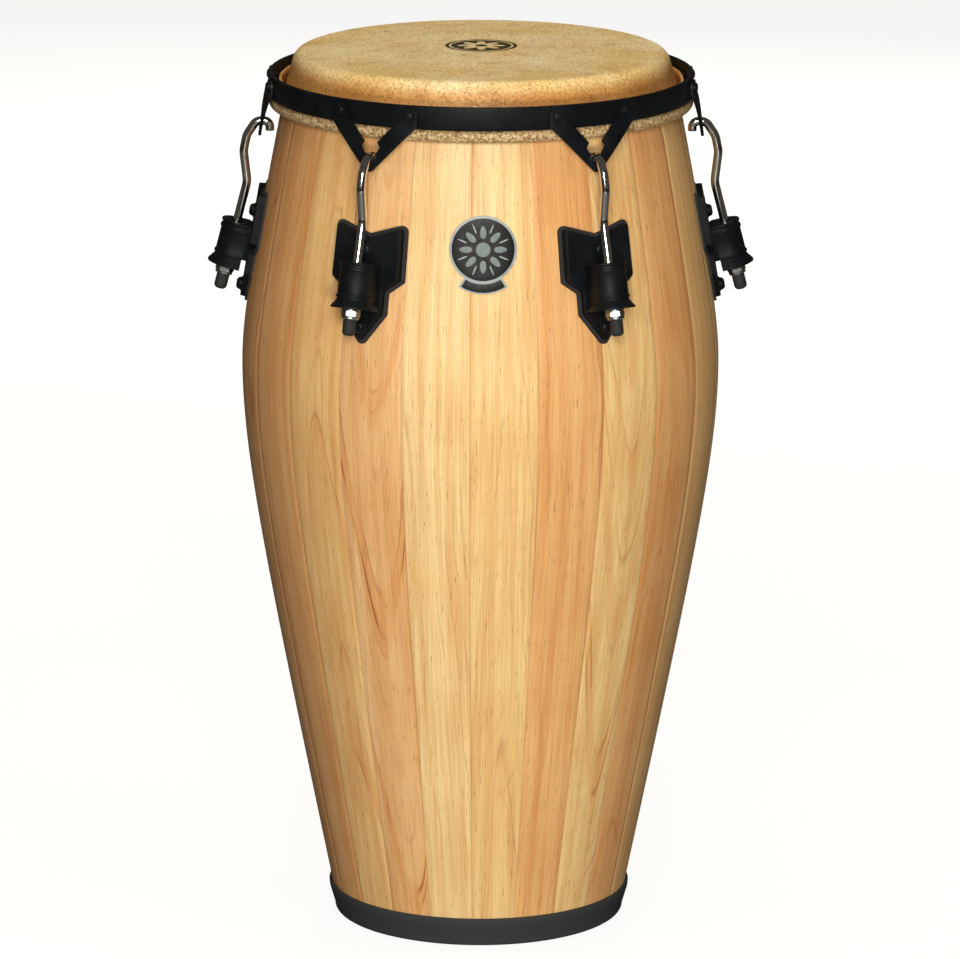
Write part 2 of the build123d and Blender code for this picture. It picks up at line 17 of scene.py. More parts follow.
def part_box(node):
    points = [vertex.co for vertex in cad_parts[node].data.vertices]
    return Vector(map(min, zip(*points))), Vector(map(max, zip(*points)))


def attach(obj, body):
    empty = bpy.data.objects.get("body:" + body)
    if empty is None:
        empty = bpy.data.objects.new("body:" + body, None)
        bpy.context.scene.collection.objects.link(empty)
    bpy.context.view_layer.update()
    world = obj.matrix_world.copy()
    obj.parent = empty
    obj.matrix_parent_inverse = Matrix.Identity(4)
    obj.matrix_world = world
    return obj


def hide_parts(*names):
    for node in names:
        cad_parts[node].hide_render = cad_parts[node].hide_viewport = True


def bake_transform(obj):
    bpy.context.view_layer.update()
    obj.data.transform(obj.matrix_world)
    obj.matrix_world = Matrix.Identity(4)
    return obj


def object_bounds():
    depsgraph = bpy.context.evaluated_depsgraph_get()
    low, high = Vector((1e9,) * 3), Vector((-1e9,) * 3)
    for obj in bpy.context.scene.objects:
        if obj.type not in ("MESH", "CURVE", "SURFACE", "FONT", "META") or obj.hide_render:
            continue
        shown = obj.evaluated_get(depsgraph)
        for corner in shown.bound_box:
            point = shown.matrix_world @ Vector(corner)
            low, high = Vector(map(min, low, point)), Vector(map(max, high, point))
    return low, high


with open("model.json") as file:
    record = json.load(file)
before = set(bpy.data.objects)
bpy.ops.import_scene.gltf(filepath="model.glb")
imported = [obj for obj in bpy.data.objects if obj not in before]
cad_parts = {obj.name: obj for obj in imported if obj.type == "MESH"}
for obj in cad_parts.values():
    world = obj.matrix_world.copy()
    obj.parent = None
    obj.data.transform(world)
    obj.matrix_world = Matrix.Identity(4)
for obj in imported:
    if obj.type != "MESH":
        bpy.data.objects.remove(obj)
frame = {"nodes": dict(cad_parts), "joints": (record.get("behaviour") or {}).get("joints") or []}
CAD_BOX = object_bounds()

MM = 0.001
SEED = 7
log = logging.getLogger("conga")

Socket = bpy.types.NodeSocket
Piece = bpy.types.Object
Material = bpy.types.Material
Colour = tuple[float, float, float, float]
Point = tuple[float, float]


def shade(code: str) -> Colour:
    """Linear colour of an sRGB hex code such as "c08040"."""
    levels = [int(code[i : i + 2], 16) / 255 for i in (0, 2, 4)]
    linear = [v / 12.92 if v <= 0.04045 else ((v + 0.055) / 1.055) ** 2.4 for v in levels]
    return (*linear, 1.0)


# ---- Node trees ----------------------------------------------------------------------------------
class Graph:
    """A node tree under construction, with short ways to add and join nodes."""

    def __init__(self, tree: bpy.types.NodeTree) -> None:
        """Takes the tree that the nodes go in."""
        self.tree = tree

    def add(self, kind: str, inputs: dict[Any, Any] | None = None, **settings: Any) -> bpy.types.Node:
        """Adds one node.

        Args:
            kind: Blender's name of the node type.
            inputs: socket name or number to a value, or to the socket that feeds it.
            settings: the node's own properties.

        Returns:
            The new node.
        """
        node = self.tree.nodes.new(kind)
        for name, value in settings.items():
            setattr(node, name, value)
        self.feed(node, inputs or {})
        return node

    def feed(self, node: bpy.types.Node, inputs: dict[Any, Any]) -> None:
        """Sets or links a node's sockets.

        Args:
            node: the node.
            inputs: socket name or number to a value, or to the socket that feeds it.
        """
        for key, value in inputs.items():
            if isinstance(value, bpy.types.NodeSocket):
                self.tree.links.new(value, node.inputs[key])
            else:
                node.inputs[key].default_value = value

    def math(self, operation: str, *values: Any) -> Socket:
        """The result of a Math node on up to three values or sockets."""
        return self.add("ShaderNodeMath", dict(enumerate(values)), operation=operation).outputs[0]

    def times(self, first: Any, second: Any) -> Socket:
        """The product of two values or sockets."""
        return self.math("MULTIPLY", first, second)

    def plus(self, first: Any, second: Any) -> Socket:
        """The sum of two values or sockets."""
        return self.math("ADD", first, second)

    def minus(self, first: Any, second: Any) -> Socket:
        """The difference of two values or sockets."""
        return self.math("SUBTRACT", first, second)

    def remap(self, value: Any, low: float, high: float, to_low: float = 0.0, to_high: float = 1.0) -> Socket:
        """A value mapped from one range to another, kept inside it and eased at both ends."""
        given = {"Value": value, "From Min": low, "From Max": high, "To Min": to_low, "To Max": to_high}
        return self.add("ShaderNodeMapRange", given, interpolation_type="SMOOTHSTEP").outputs[0]

    def mix(self, factor: Any, first: Any, second: Any, blend: str = "MIX") -> Socket:
        """Two colours mixed by a factor."""
        given = {0: factor, 6: first, 7: second}
        return self.add("ShaderNodeMix", given, data_type="RGBA", blend_type=blend).outputs[2]

    def stretch(self, vector: Socket, scale: tuple[float, float, float]) -> Socket:
        """A vector scaled along each axis."""
        given = {0: vector, 1: scale}
        return self.add("ShaderNodeVectorMath", given, operation="MULTIPLY").outputs[0]

    def tint(self, colour: Any, mask: Any, strength: float, code: str, blend: str = "MIX") -> Socket:
        """A colour with another laid over it where a mask is on.

        Args:
            colour: the colour underneath, as a value or a socket.
            mask: where the other colour goes.
            strength: how much of it shows where the mask is full.
            code: the other colour's hex code.
            blend: how it is laid on.

        Returns:
            The tinted colour's socket.
        """
        return self.mix(self.times(mask, strength), colour, shade(code), blend)

    def effect(self, effect: "Effect", vector: Socket, **inputs: Any) -> bpy.types.Node:
        """The node of a shared effect on a vector, with its other inputs by name."""
        return self.add("ShaderNodeGroup", {"Vector": vector, **inputs}, node_tree=effect.group())

    def mask(self, effect: "Effect", vector: Socket, **inputs: Any) -> Socket:
        """The mask that a shared effect gives."""
        return self.effect(effect, vector, **inputs).outputs[0]


class Effect(Enum):
    """The node groups that several finishes share."""

    CLOUDS = "cloudy_patches"
    SPECKS = "scattered_specks"
    STREAKS = "long_streaks"
    PLAIN_SAWN = "plain_sawn_figure"

    def group(self) -> bpy.types.NodeTree:
        """This effect's node group, built when it is first asked for.

        Returns:
            The shared node group.
        """
        if self.value not in bpy.data.node_groups:
            tree = bpy.data.node_groups.new(self.value, "ShaderNodeTree")
            EFFECT_BUILDERS[self](tree)
        return bpy.data.node_groups[self.value]


def sockets(tree: bpy.types.NodeTree, inputs: dict[str, Any], outputs: dict[str, str]) -> tuple[Any, Any]:
    """Declares a shader group's sockets.

    Args:
        tree: the group.
        inputs: name to default number, or to None for a vector.
        outputs: name to socket type.

    Returns:
        The outputs of its input node, and its output node.
    """
    for name, default in inputs.items():
        kind = "NodeSocketVector" if default is None else "NodeSocketFloat"
        socket = tree.interface.new_socket(name, in_out="INPUT", socket_type=kind)
        if default is not None:
            socket.default_value = default
    for name, kind in outputs.items():
        tree.interface.new_socket(name, in_out="OUTPUT", socket_type=kind)
    return tree.nodes.new("NodeGroupInput").outputs, tree.nodes.new("NodeGroupOutput")


def build_clouds(tree: bpy.types.NodeTree) -> None:
    """Soft patches: noise cut between two levels.

    Args:
        tree: the empty group to fill.
    """
    defaults = {"Vector": None, "Scale": 30.0, "Detail": 4.0, "Low": 0.4, "High": 0.6}
    given, result = sockets(tree, defaults, {"Mask": "NodeSocketFloat"})
    graph = Graph(tree)
    noise = graph.add(
        "ShaderNodeTexNoise",
        {"Vector": given["Vector"], "Scale": given["Scale"], "Detail": given["Detail"]},
    )
    tree.links.new(graph.remap(noise.outputs[0], given["Low"], given["High"]), result.inputs["Mask"])


def build_specks(tree: bpy.types.NodeTree) -> None:
    """Round specks in a random share of the cells of a Voronoi pattern.

    Args:
        tree: the empty group to fill.
    """
    defaults = {"Vector": None, "Scale": 400.0, "Share": 0.4, "Size": 0.3}
    given, result = sockets(tree, defaults, {"Mask": "NodeSocketFloat"})
    graph = Graph(tree)
    cells = graph.add("ShaderNodeTexVoronoi", {"Vector": given["Vector"], "Scale": given["Scale"]})
    chance = graph.add("ShaderNodeSeparateColor", {0: cells.outputs["Color"]}).outputs
    chosen = graph.math("LESS_THAN", chance[0], given["Share"])
    size = graph.times(given["Size"], graph.plus(chance[1], 0.5))
    core = graph.times(size, 0.5)
    spot = graph.remap(cells.outputs["Distance"], size, core)
    tree.links.new(graph.times(spot, chosen), result.inputs["Mask"])


def build_streaks(tree: bpy.types.NodeTree) -> None:
    """Thin streaks that run along Y of the vector, cut between two levels.

    Args:
        tree: the empty group to fill.
    """
    defaults = {"Vector": None, "Across": 800.0, "Along": 12.0, "Low": 0.4, "High": 0.6}
    given, result = sockets(tree, defaults, {"Mask": "NodeSocketFloat"})
    graph = Graph(tree)
    scale = graph.add(
        "ShaderNodeCombineXYZ", {0: given["Across"], 1: given["Along"], 2: given["Across"]}
    )
    drawn = graph.add(
        "ShaderNodeVectorMath", {0: given["Vector"], 1: scale.outputs[0]}, operation="MULTIPLY"
    )
    noise = graph.add("ShaderNodeTexNoise", {"Vector": drawn.outputs[0], "Scale": 1.0, "Detail": 3.0})
    tree.links.new(graph.remap(noise.outputs[0], given["Low"], given["High"]), result.inputs["Mask"])


def build_plain_sawn(tree: bpy.types.NodeTree) -> None:
    """Arched growth rings of a plain-sawn board: broad bands and thin late-wood lines.

    X of the vector runs across the board, Y along it and Z is the board's own number. Heart is
    where the arches' middle lies across the board, and Slope how fast they climb along it.

    Args:
        tree: the empty group to fill.
    """
    defaults = {"Vector": None, "Heart": 0.0, "Slope": 0.1, "Wander": 0.012}
    outputs = {"Bands": "NodeSocketFloat", "Lines": "NodeSocketFloat", "Knots": "NodeSocketFloat"}
    given, result = sockets(tree, defaults, outputs)
    graph = Graph(tree)
    across, along, board = graph.add("ShaderNodeSeparateXYZ", {0: given["Vector"]}).outputs
    place = graph.add("ShaderNodeCombineXYZ", {0: across, 1: along, 2: graph.times(board, 7.31)})
    slow = graph.add(
        "ShaderNodeTexNoise",
        {"Vector": graph.stretch(place.outputs[0], (14.0, 5.0, 1.0)), "Scale": 1.0, "Detail": 2.5},
    )
    knots = graph.add("ShaderNodeTexVoronoi", {"Vector": place.outputs[0], "Scale": 13.0})
    chance = graph.add("ShaderNodeSeparateColor", {0: knots.outputs["Color"]}).outputs[0]
    chosen = graph.math("LESS_THAN", chance, 0.13)
    near = graph.remap(knots.outputs["Distance"], 0.24, 0.0)
    swirl = graph.times(graph.times(near, chosen), 0.011)
    drift = graph.times(graph.minus(slow.outputs[0], 0.5), given["Wander"])
    aside = graph.minus(graph.plus(across, graph.times(drift, 2.0)), given["Heart"])
    arch = graph.math("SQRT", graph.plus(graph.times(aside, aside), 0.00009))
    climb = graph.times(along, given["Slope"])
    ring = graph.plus(graph.plus(arch, climb), graph.plus(drift, swirl))
    seeded = graph.plus(ring, graph.times(board, 3.7))
    noise = "ShaderNodeTexNoise"
    bands = graph.add(noise, {"W": seeded, "Scale": 95.0, "Detail": 1.0}, noise_dimensions="1D")
    lines = graph.add(noise, {"W": seeded, "Scale": 430.0, "Detail": 2.0}, noise_dimensions="1D")
    fade = graph.add(
        "ShaderNodeTexNoise",
        {"Vector": graph.stretch(place.outputs[0], (60.0, 9.0, 1.0)), "Scale": 1.0, "Detail": 2.0},
    )
    kept = graph.remap(fade.outputs[0], 0.38, 0.62)
    drawn = graph.times(graph.remap(lines.outputs[0], 0.55, 0.72), kept)
    heart = graph.times(graph.remap(knots.outputs["Distance"], 0.055, 0.015), chosen)
    tree.links.new(graph.remap(bands.outputs[0], 0.48, 0.70), result.inputs["Bands"])
    tree.links.new(drawn, result.inputs["Lines"])
    tree.links.new(heart, result.inputs["Knots"])


EFFECT_BUILDERS: dict[Effect, Callable[[bpy.types.NodeTree], None]] = {
    Effect.CLOUDS: build_clouds,
    Effect.SPECKS: build_specks,
    Effect.STREAKS: build_streaks,
    Effect.PLAIN_SAWN: build_plain_sawn,
}


# ---- Finishes --------------------------------------------------------------------------------------
@dataclass(frozen=True)
class Finish:
    """A procedural surface: a name, and how its nodes are made."""

    name: str

    def material(self) -> Material:
        """This finish's material, built when it is first asked for.

        Returns:
            The material.
        """
        if self.name not in bpy.data.materials:
            made = bpy.data.materials.new(self.name)
            made.use_nodes = True
            made.node_tree.nodes.clear()
            graph = Graph(made.node_tree)
            shader = graph.add("ShaderNodeBsdfPrincipled")
            graph.add("ShaderNodeOutputMaterial", {"Surface": shader.outputs[0]})
            self.paint(graph, shader)
        return bpy.data.materials[self.name]

    def paint(self, graph: Graph, shader: bpy.types.Node) -> None:
        """Joins the pattern's nodes to the shader's sockets."""
        raise NotImplementedError

    @staticmethod
    def place(graph: Graph) -> Socket:
        """Where a point lies on the finished piece, in metres."""
        return graph.add("ShaderNodeTexCoord").outputs["Object"]

    @staticmethod
    def bump(graph: Graph, height: Socket, distance: float, strength: float = 1.0) -> Socket:
        """A normal from a height mask; distance is its full depth in metres."""
        given = {"Height": height, "Distance": distance, "Strength": strength}
        return graph.add("ShaderNodeBump", given).outputs[0]


@dataclass(frozen=True)
class LacqueredStaves(Finish):
    """Pale hardwood staves under satin lacquer; each stave brings its own tone and figure."""

    band: str = "dc9c5c"
    line: str = "a3592a"
    pore: str = "6b3a1c"
    seam: str = "a5673a"
    roughness: float = 0.46

    def paint(self, graph: Graph, shader: bpy.types.Node) -> None:
        """Tone, bands, ring lines, fibres and pores, under a clear coat.

        Args:
            graph: the material's node tree.
            shader: its Principled shader.
        """
        across_along = graph.add("ShaderNodeUVMap", uv_map="grain").outputs[0]
        tone = graph.add("ShaderNodeAttribute", attribute_name="tone").outputs["Color"]
        figure = graph.add("ShaderNodeAttribute", attribute_name="figure").outputs["Vector"]
        heart, slope, strength = graph.add("ShaderNodeSeparateXYZ", {0: figure}).outputs
        stave = graph.add("ShaderNodeAttribute", attribute_name="stave").outputs["Fac"]
        across, along, _ = graph.add("ShaderNodeSeparateXYZ", {0: across_along}).outputs
        board = graph.add("ShaderNodeCombineXYZ", {0: across, 1: along, 2: stave}).outputs[0]
        sawn = graph.effect(Effect.PLAIN_SAWN, board, Heart=heart, Slope=slope)
        fibre = graph.mask(Effect.STREAKS, board, Across=900.0, Along=14.0, Low=0.3, High=0.7)
        streak = graph.mask(Effect.STREAKS, board, Across=120.0, Along=2.4, Low=0.35, High=0.7)
        pores = graph.mask(Effect.STREAKS, board, Across=1100.0, Along=70.0, Low=0.62, High=0.72)
        dashes = graph.mask(Effect.STREAKS, board, Across=900.0, Along=22.0, Low=0.62, High=0.74)
        edge = graph.math("ABSOLUTE", graph.add("ShaderNodeAttribute", attribute_name="share").outputs["Fac"])
        seam = graph.times(graph.remap(edge, 0.955, 0.998), graph.remap(streak, 0.0, 0.8, 0.25, 1.0))
        clouds = graph.mask(Effect.CLOUDS, board, Scale=9.0, Detail=3.0, Low=0.35, High=0.7)
        colour = graph.tint(tone, clouds, 0.25, "e2b67c", "MULTIPLY")
        banded = graph.times(sawn.outputs["Bands"], strength)
        colour = graph.tint(colour, banded, 0.45, self.band)
        colour = graph.tint(colour, streak, 0.38, "dcae76", "MULTIPLY")
        lined = graph.times(sawn.outputs["Lines"], graph.plus(banded, 0.35))
        colour = graph.tint(colour, lined, 0.66, self.line)
        colour = graph.tint(colour, fibre, 0.30, "c08c56", "MULTIPLY")
        colour = graph.tint(colour, pores, 0.62, self.pore)
        colour = graph.tint(colour, dashes, 0.55, self.line)
        colour = graph.tint(colour, seam, 0.55, self.seam)
        colour = graph.tint(colour, sawn.outputs["Knots"], 0.65, "8a5028")
        rough = graph.remap(fibre, 0.0, 1.0, self.roughness - 0.04, self.roughness + 0.08)
        relief = graph.minus(fibre, graph.times(pores, 2.0))
        graph.feed(shader, {
            "Base Color": colour, "Roughness": rough, "Coat Weight": 0.12, "Coat Roughness": 0.30,
            "Normal": self.bump(graph, relief, 0.00002),
        })


@dataclass(frozen=True)
class BareWood(Finish):
    """Unfinished wood inside the shell, with rings that follow the piece."""

    light: str = "c99d64"
    dark: str = "9a6a3c"

    def paint(self, graph: Graph, shader: bpy.types.Node) -> None:
        """Layered noise, drawn out round the drum.

        Args:
            graph: the material's node tree.
            shader: its Principled shader.
        """
        place = self.place(graph)
        layers = graph.stretch(place, (6.0, 6.0, 160.0))
        grain = graph.add("ShaderNodeTexNoise", {"Vector": layers, "Scale": 2.0, "Detail": 5.0}).outputs[0]
        dust = graph.mask(Effect.SPECKS, place, Scale=700.0, Share=0.3, Size=0.3)
        colour = graph.mix(graph.remap(grain, 0.35, 0.7), shade(self.light), shade(self.dark))
        colour = graph.tint(colour, dust, 0.3, self.dark, "MULTIPLY")
        graph.feed(shader, {
            "Base Color": colour, "Roughness": 0.75, "Normal": self.bump(graph, grain, 0.0002),
        })


@dataclass(frozen=True)
class Rawhide(Finish):
    """Dry amber rawhide: mottled, speckled with hair roots, and printed with a plain rosette."""

    pale: str = "f7e2ad"
    amber: str = "eccb84"
    root: str = "5f3515"
    print_middle: tuple[float, float] = (0.0, 19.0 * MM)
    print_radius: float = 29.0 * MM

    def paint(self, graph: Graph, shader: bpy.types.Node) -> None:
        """Mottling and roots, a darker tuck that is partly painted shade, and the rosette on the flat face
        only.

        Args:
            graph: the material's node tree.
            shader: its Principled shader.
        """
        place = self.place(graph)
        broad = graph.mask(Effect.CLOUDS, place, Scale=14.0, Detail=5.0, Low=0.36, High=0.68)
        fine = graph.mask(Effect.CLOUDS, place, Scale=420.0, Detail=2.0, Low=0.38, High=0.66)
        roots = graph.mask(Effect.SPECKS, place, Scale=620.0, Share=0.5, Size=0.42)
        stains = graph.mask(Effect.CLOUDS, place, Scale=55.0, Detail=6.0, Low=0.5, High=0.78)
        x, y, z = graph.add("ShaderNodeSeparateXYZ", {0: place}).outputs
        top = CAD_BOX[1].z
        flat = graph.remap(z, top - 14.0 * MM, top - 0.5 * MM)
        under = graph.remap(z, top - 30.0 * MM, top - 38.0 * MM)
        colour = graph.mix(broad, shade(self.pale), shade(self.amber))
        skirt = graph.mix(broad, shade("d59f5b"), shade("bf8644"))
        colour = graph.mix(flat, skirt, colour)
        # The tuck under the rim gets a darker colour: partly the raw hide's own fuzzy tone, partly painted
        # shade from the rim above it.
        tuck_fuzz_and_shade = graph.mix(fine, shade("c9b083"), shade("94784f"))
        colour = graph.mix(under, colour, tuck_fuzz_and_shade)
        colour = graph.tint(colour, fine, 0.35, "b98750", "MULTIPLY")
        colour = graph.tint(colour, stains, 0.35, "b07436", "MULTIPLY")
        colour = graph.tint(colour, roots, 0.5, self.root)
        ink = graph.times(self.rosette(graph, x, y), graph.remap(z, top - 1.5 * MM, top - 0.5 * MM))
        colour = graph.tint(colour, ink, 0.94, "1a120e")
        height = graph.minus(fine, roots)
        rough = graph.remap(fine, 0.0, 1.0, 0.42, 0.60)
        graph.feed(shader, {
            "Base Color": colour, "Roughness": rough, "Specular IOR Level": 0.35,
            "Normal": self.bump(graph, height, 0.00012),
        })

    def rosette(self, graph: Graph, x: Socket, y: Socket) -> Socket:
        """Ink mask of a round print: a filled disc with a ring and eight petals left bare.

        Args:
            graph: the material's node tree.
            x: place across the drum.
            y: place along its depth.

        Returns:
            A mask that is full where there is ink.
        """
        dx = graph.minus(x, self.print_middle[0])
        dy = graph.minus(y, self.print_middle[1])
        far = graph.math("SQRT", graph.plus(graph.times(dx, dx), graph.times(dy, dy)))
        turn = graph.math("ARCTAN2", dy, dx)
        wave = graph.math("ABSOLUTE", graph.math("COSINE", graph.times(turn, 4.0)))
        petal_end = graph.plus(graph.times(wave, 11.0 * MM), 8.0 * MM)
        soft = 0.3 * MM
        disc = graph.remap(far, self.print_radius, self.print_radius - soft)
        inside = graph.remap(graph.minus(petal_end, far), 0.0, soft)
        eye = graph.remap(far, 5.0 * MM, 5.0 * MM - soft)
        line = graph.math("ABSOLUTE", graph.minus(far, 25.0 * MM))
        ring = graph.remap(line, 1.0 * MM, 1.0 * MM - soft)
        bare = graph.math("MAXIMUM", graph.minus(inside, eye), ring)
        return graph.times(disc, graph.minus(1.0, bare))


@dataclass(frozen=True)
class PowderCoat(Finish):
    """Black coating on steel or castings, with a fine orange-peel texture."""

    colour: str = "0d0f11"
    roughness: float = 0.36
    grain: float = 900.0
    depth: float = 0.00003

    def paint(self, graph: Graph, shader: bpy.types.Node) -> None:
        """Peel texture, a little handling haze and a few pale dust specks.

        Args:
            graph: the material's node tree.
            shader: its Principled shader.
        """
        place = self.place(graph)
        peel = graph.mask(Effect.CLOUDS, place, Scale=self.grain, Detail=2.0, Low=0.3, High=0.7)
        haze = graph.mask(Effect.CLOUDS, place, Scale=45.0, Detail=5.0, Low=0.4, High=0.75)
        specks = graph.mask(Effect.SPECKS, place, Scale=500.0, Share=0.05, Size=0.2)
        colour = graph.tint(shade(self.colour), haze, 0.5, "1a1d1f")
        colour = graph.tint(colour, specks, 0.12, "5a5c5c")
        rough = graph.plus(graph.remap(peel, 0.0, 1.0, -0.04, 0.05), self.roughness)
        rough = graph.plus(rough, graph.times(haze, 0.06))
        graph.feed(shader, {
            "Base Color": colour, "Roughness": rough, "Specular IOR Level": 0.2,
            "Normal": self.bump(graph, peel, self.depth),
        })


@dataclass(frozen=True)
class Plating(Finish):
    """Bright plated metal with faint draw marks and cloudy patches."""

    colour: str = "e2e2e0"
    roughness: float = 0.10
    dulled: float = 0.12

    def paint(self, graph: Graph, shader: bpy.types.Node) -> None:
        """Metal whose roughness and tone vary a little.

        Args:
            graph: the material's node tree.
            shader: its Principled shader.
        """
        place = self.place(graph)
        haze = graph.mask(Effect.CLOUDS, place, Scale=160.0, Detail=5.0, Low=0.42, High=0.72)
        marks = graph.mask(Effect.SPECKS, place, Scale=420.0, Share=0.22, Size=0.28)
        colour = graph.tint(shade(self.colour), haze, 0.35, "a9a59a")
        rough = graph.remap(haze, 0.0, 1.0, self.roughness, self.roughness + self.dulled)
        height = graph.plus(graph.times(haze, 0.6), marks)
        graph.feed(shader, {
            "Base Color": colour, "Roughness": rough, "Metallic": 1.0,
            "Normal": self.bump(graph, height, 0.00004),
        })


@dataclass(frozen=True)
class Rubber(Finish):
    """Moulded black rubber, a little greyed by dust."""

    colour: str = "040505"
    roughness: float = 0.4

    def paint(self, graph: Graph, shader: bpy.types.Node) -> None:
        """Fine skin texture with uneven dust.

        Args:
            graph: the material's node tree.
            shader: its Principled shader.
        """
        place = self.place(graph)
        skin = graph.mask(Effect.CLOUDS, place, Scale=1300.0, Detail=2.0, Low=0.3, High=0.7)
        dust = graph.mask(Effect.CLOUDS, place, Scale=24.0, Detail=6.0, Low=0.45, High=0.8)
        colour = graph.tint(shade(self.colour), dust, 0.5, "121414")
        rough = graph.plus(graph.remap(dust, 0.0, 1.0, 0.0, 0.14), self.roughness)
        graph.feed(shader, {
            "Base Color": colour, "Roughness": rough, "Specular IOR Level": 0.2,
            "Normal": self.bump(graph, skin, 0.00003),
        })


@dataclass(frozen=True)
class Enamel(Finish):
    """Hard enamel or cast metal on the badge."""

    colour: str = "0a0b0c"
    metallic: float = 0.0
    roughness: float = 0.3

    def paint(self, graph: Graph, shader: bpy.types.Node) -> None:
        """A brushed grain over an even colour.

        Args:
            graph: the material's node tree.
            shader: its Principled shader.
        """
        place = self.place(graph)
        brushed = graph.stretch(place, (900.0, 900.0, 60.0))
        grain = graph.add("ShaderNodeTexNoise", {"Vector": brushed, "Scale": 1.0, "Detail": 2.0}).outputs[0]
        lighter = tuple(min(1.0, c * 1.3) for c in shade(self.colour))
        colour = graph.mix(graph.remap(grain, 0.35, 0.7), shade(self.colour), lighter)
        rough = graph.remap(grain, 0.3, 0.7, self.roughness, self.roughness + 0.15)
        graph.feed(shader, {
            "Base Color": colour, "Roughness": rough, "Metallic": self.metallic,
            "Specular IOR Level": 0.2, "Normal": self.bump(graph, grain, 0.00002),
        })


@dataclass(frozen=True)
class PaleFloor(Finish):
    """The plain floor that the drum stands on: white to the camera, dull to everything else."""

    def paint(self, graph: Graph, shader: bpy.types.Node) -> None:
        """Almost white, with the slightest unevenness and a faint shadow.

        Args:
            graph: the material's node tree.
            shader: its Principled shader.
        """
        place = self.place(graph)
        tone = graph.mask(Effect.CLOUDS, place, Scale=1.5, Detail=2.0, Low=0.2, High=0.8)
        colour = graph.mix(tone, shade("6c6a67"), shade("666461"))
        seen = graph.add("ShaderNodeLightPath").outputs["Is Camera Ray"]
        graph.feed(shader, {
            "Base Color": colour, "Roughness": 0.8, "Specular IOR Level": 0.1,
            "Emission Color": shade("fbfbfa"), "Emission Strength": graph.times(seen, 0.93),
        })


STAVES = LacqueredStaves("stave_lacquer")
BARE_WOOD = BareWood("ring_wood")
HEAD = Rawhide("amber_rawhide")
SATIN_BLACK = PowderCoat("satin_black_coat")
CAST_BLACK = PowderCoat("cast_black_coat", colour="0c0e10", roughness=0.44, grain=1500.0, depth=0.00005)
CHROME = Plating("hook_chrome")
ZINC = Plating("zinc_plate", colour="b4b6b8", roughness=0.34, dulled=0.2)
FOOT_RUBBER = Rubber("foot_rubber")
GASKET_RUBBER = Rubber("gasket_rubber", colour="0e0f10", roughness=0.55)
CAP_PLASTIC = Rubber("cap_plastic", colour="0f1011", roughness=0.36)
BADGE_BLACK = Enamel("badge_enamel")
BADGE_GREY = Enamel("badge_grey", colour="6f7874", metallic=0.1, roughness=0.45)
BADGE_SILVER = Enamel("badge_silver", colour="8d9491", metallic=0.2, roughness=0.4)


# ---- Meshes ------------------------------------------------------------------------------------------
def linked(name: str, mesh: bpy.types.Mesh) -> Piece:
    """A new object in the scene that holds a mesh."""
    piece = bpy.data.objects.new(name, mesh)
    bpy.context.scene.collection.objects.link(piece)
    return piece


def from_lists(name: str, points: list[Any], faces: list[Any]) -> Piece:
    """A smooth object from points and faces, with doubles merged and faces turned outwards.

    Args:
        name: the new piece's name.
        points: its points.
        faces: each face's point numbers.

    Returns:
        The new piece.
    """
    mesh = bpy.data.meshes.new(name)
    mesh.from_pydata([tuple(p) for p in points], [], faces)
    work = bmesh.new()
    work.from_mesh(mesh)
    bmesh.ops.remove_doubles(work, verts=work.verts, dist=0.001 * MM)
    bmesh.ops.dissolve_degenerate(work, edges=work.edges, dist=0.0005 * MM)
    bmesh.ops.recalc_face_normals(work, faces=work.faces)
    work.to_mesh(mesh)
    work.free()
    mesh.shade_smooth()
    return linked(name, mesh)


def lathe(name: str, outline: list[Point], segments: int) -> Piece:
    """A closed (radius, height) outline turned round the drum's axis.

    Args:
        name: the new piece's name.
        outline: the closed outline.
        segments: faces round the axis.

    Returns:
        The turned piece.
    """
    count = len(outline)
    turns = [2 * math.pi * i / segments for i in range(segments)]
    points = [(r * math.sin(a), -r * math.cos(a), z) for a in turns for r, z in outline]
    faces = []
    for i in range(segments):
        here, there = i * count, (i + 1) % segments * count
        for j in range(count):
            k = (j + 1) % count
            if outline[j][0] or outline[k][0]:
                faces.append((here + j, there + j, there + k, here + k))
    return from_lists(name, points, faces)


def creased(piece: Piece, degrees: float = 35.0) -> Piece:
    """Marks the piece's edges sharp where its faces turn by more than an angle."""
    piece.data.set_sharp_from_angle(angle=math.radians(degrees))
    return piece


def rounded(points: list[Point], radii: list[float], steps: int) -> list[Point]:
    """A path through points with an arc of each radius at the corners between its ends.

    Args:
        points: the path's ends and corners.
        radii: each corner's radius.
        steps: straight pieces in each arc.

    Returns:
        The rounded path.
    """
    path = [points[0]]
    for i, radius in enumerate(radii, start=1):
        corner = Vector(points[i])
        back = (Vector(points[i - 1]) - corner).normalized()
        ahead = (Vector(points[i + 1]) - corner).normalized()
        half = back.angle(ahead) / 2
        centre = corner + (back + ahead).normalized() * (radius / math.sin(half))
        start = corner + back * (radius / math.tan(half)) - centre
        end = corner + ahead * (radius / math.tan(half)) - centre
        sweep = start.angle_signed(end)
        for step in range(steps + 1):
            turned = start.copy()
            turned.rotate(Matrix.Rotation(-sweep * step / steps, 2))
            path.append(tuple(centre + turned))
    return [*path, points[-1]]


def evenly(path: list[Point], spacing: float) -> list[Point]:
    """The path with its long runs divided, so that no two points are further apart than spacing.

    Args:
        path: points of the path.
        spacing: the longest run that is left, in metres.

    Returns:
        The divided path.
    """
    filled = [path[0]]
    for a, b in zip(path, path[1:]):
        parts = max(1, math.ceil(math.dist(a, b) / spacing))
        for i in range(1, parts + 1):
            filled.append((a[0] + (b[0] - a[0]) * i / parts, a[1] + (b[1] - a[1]) * i / parts))
    return filled


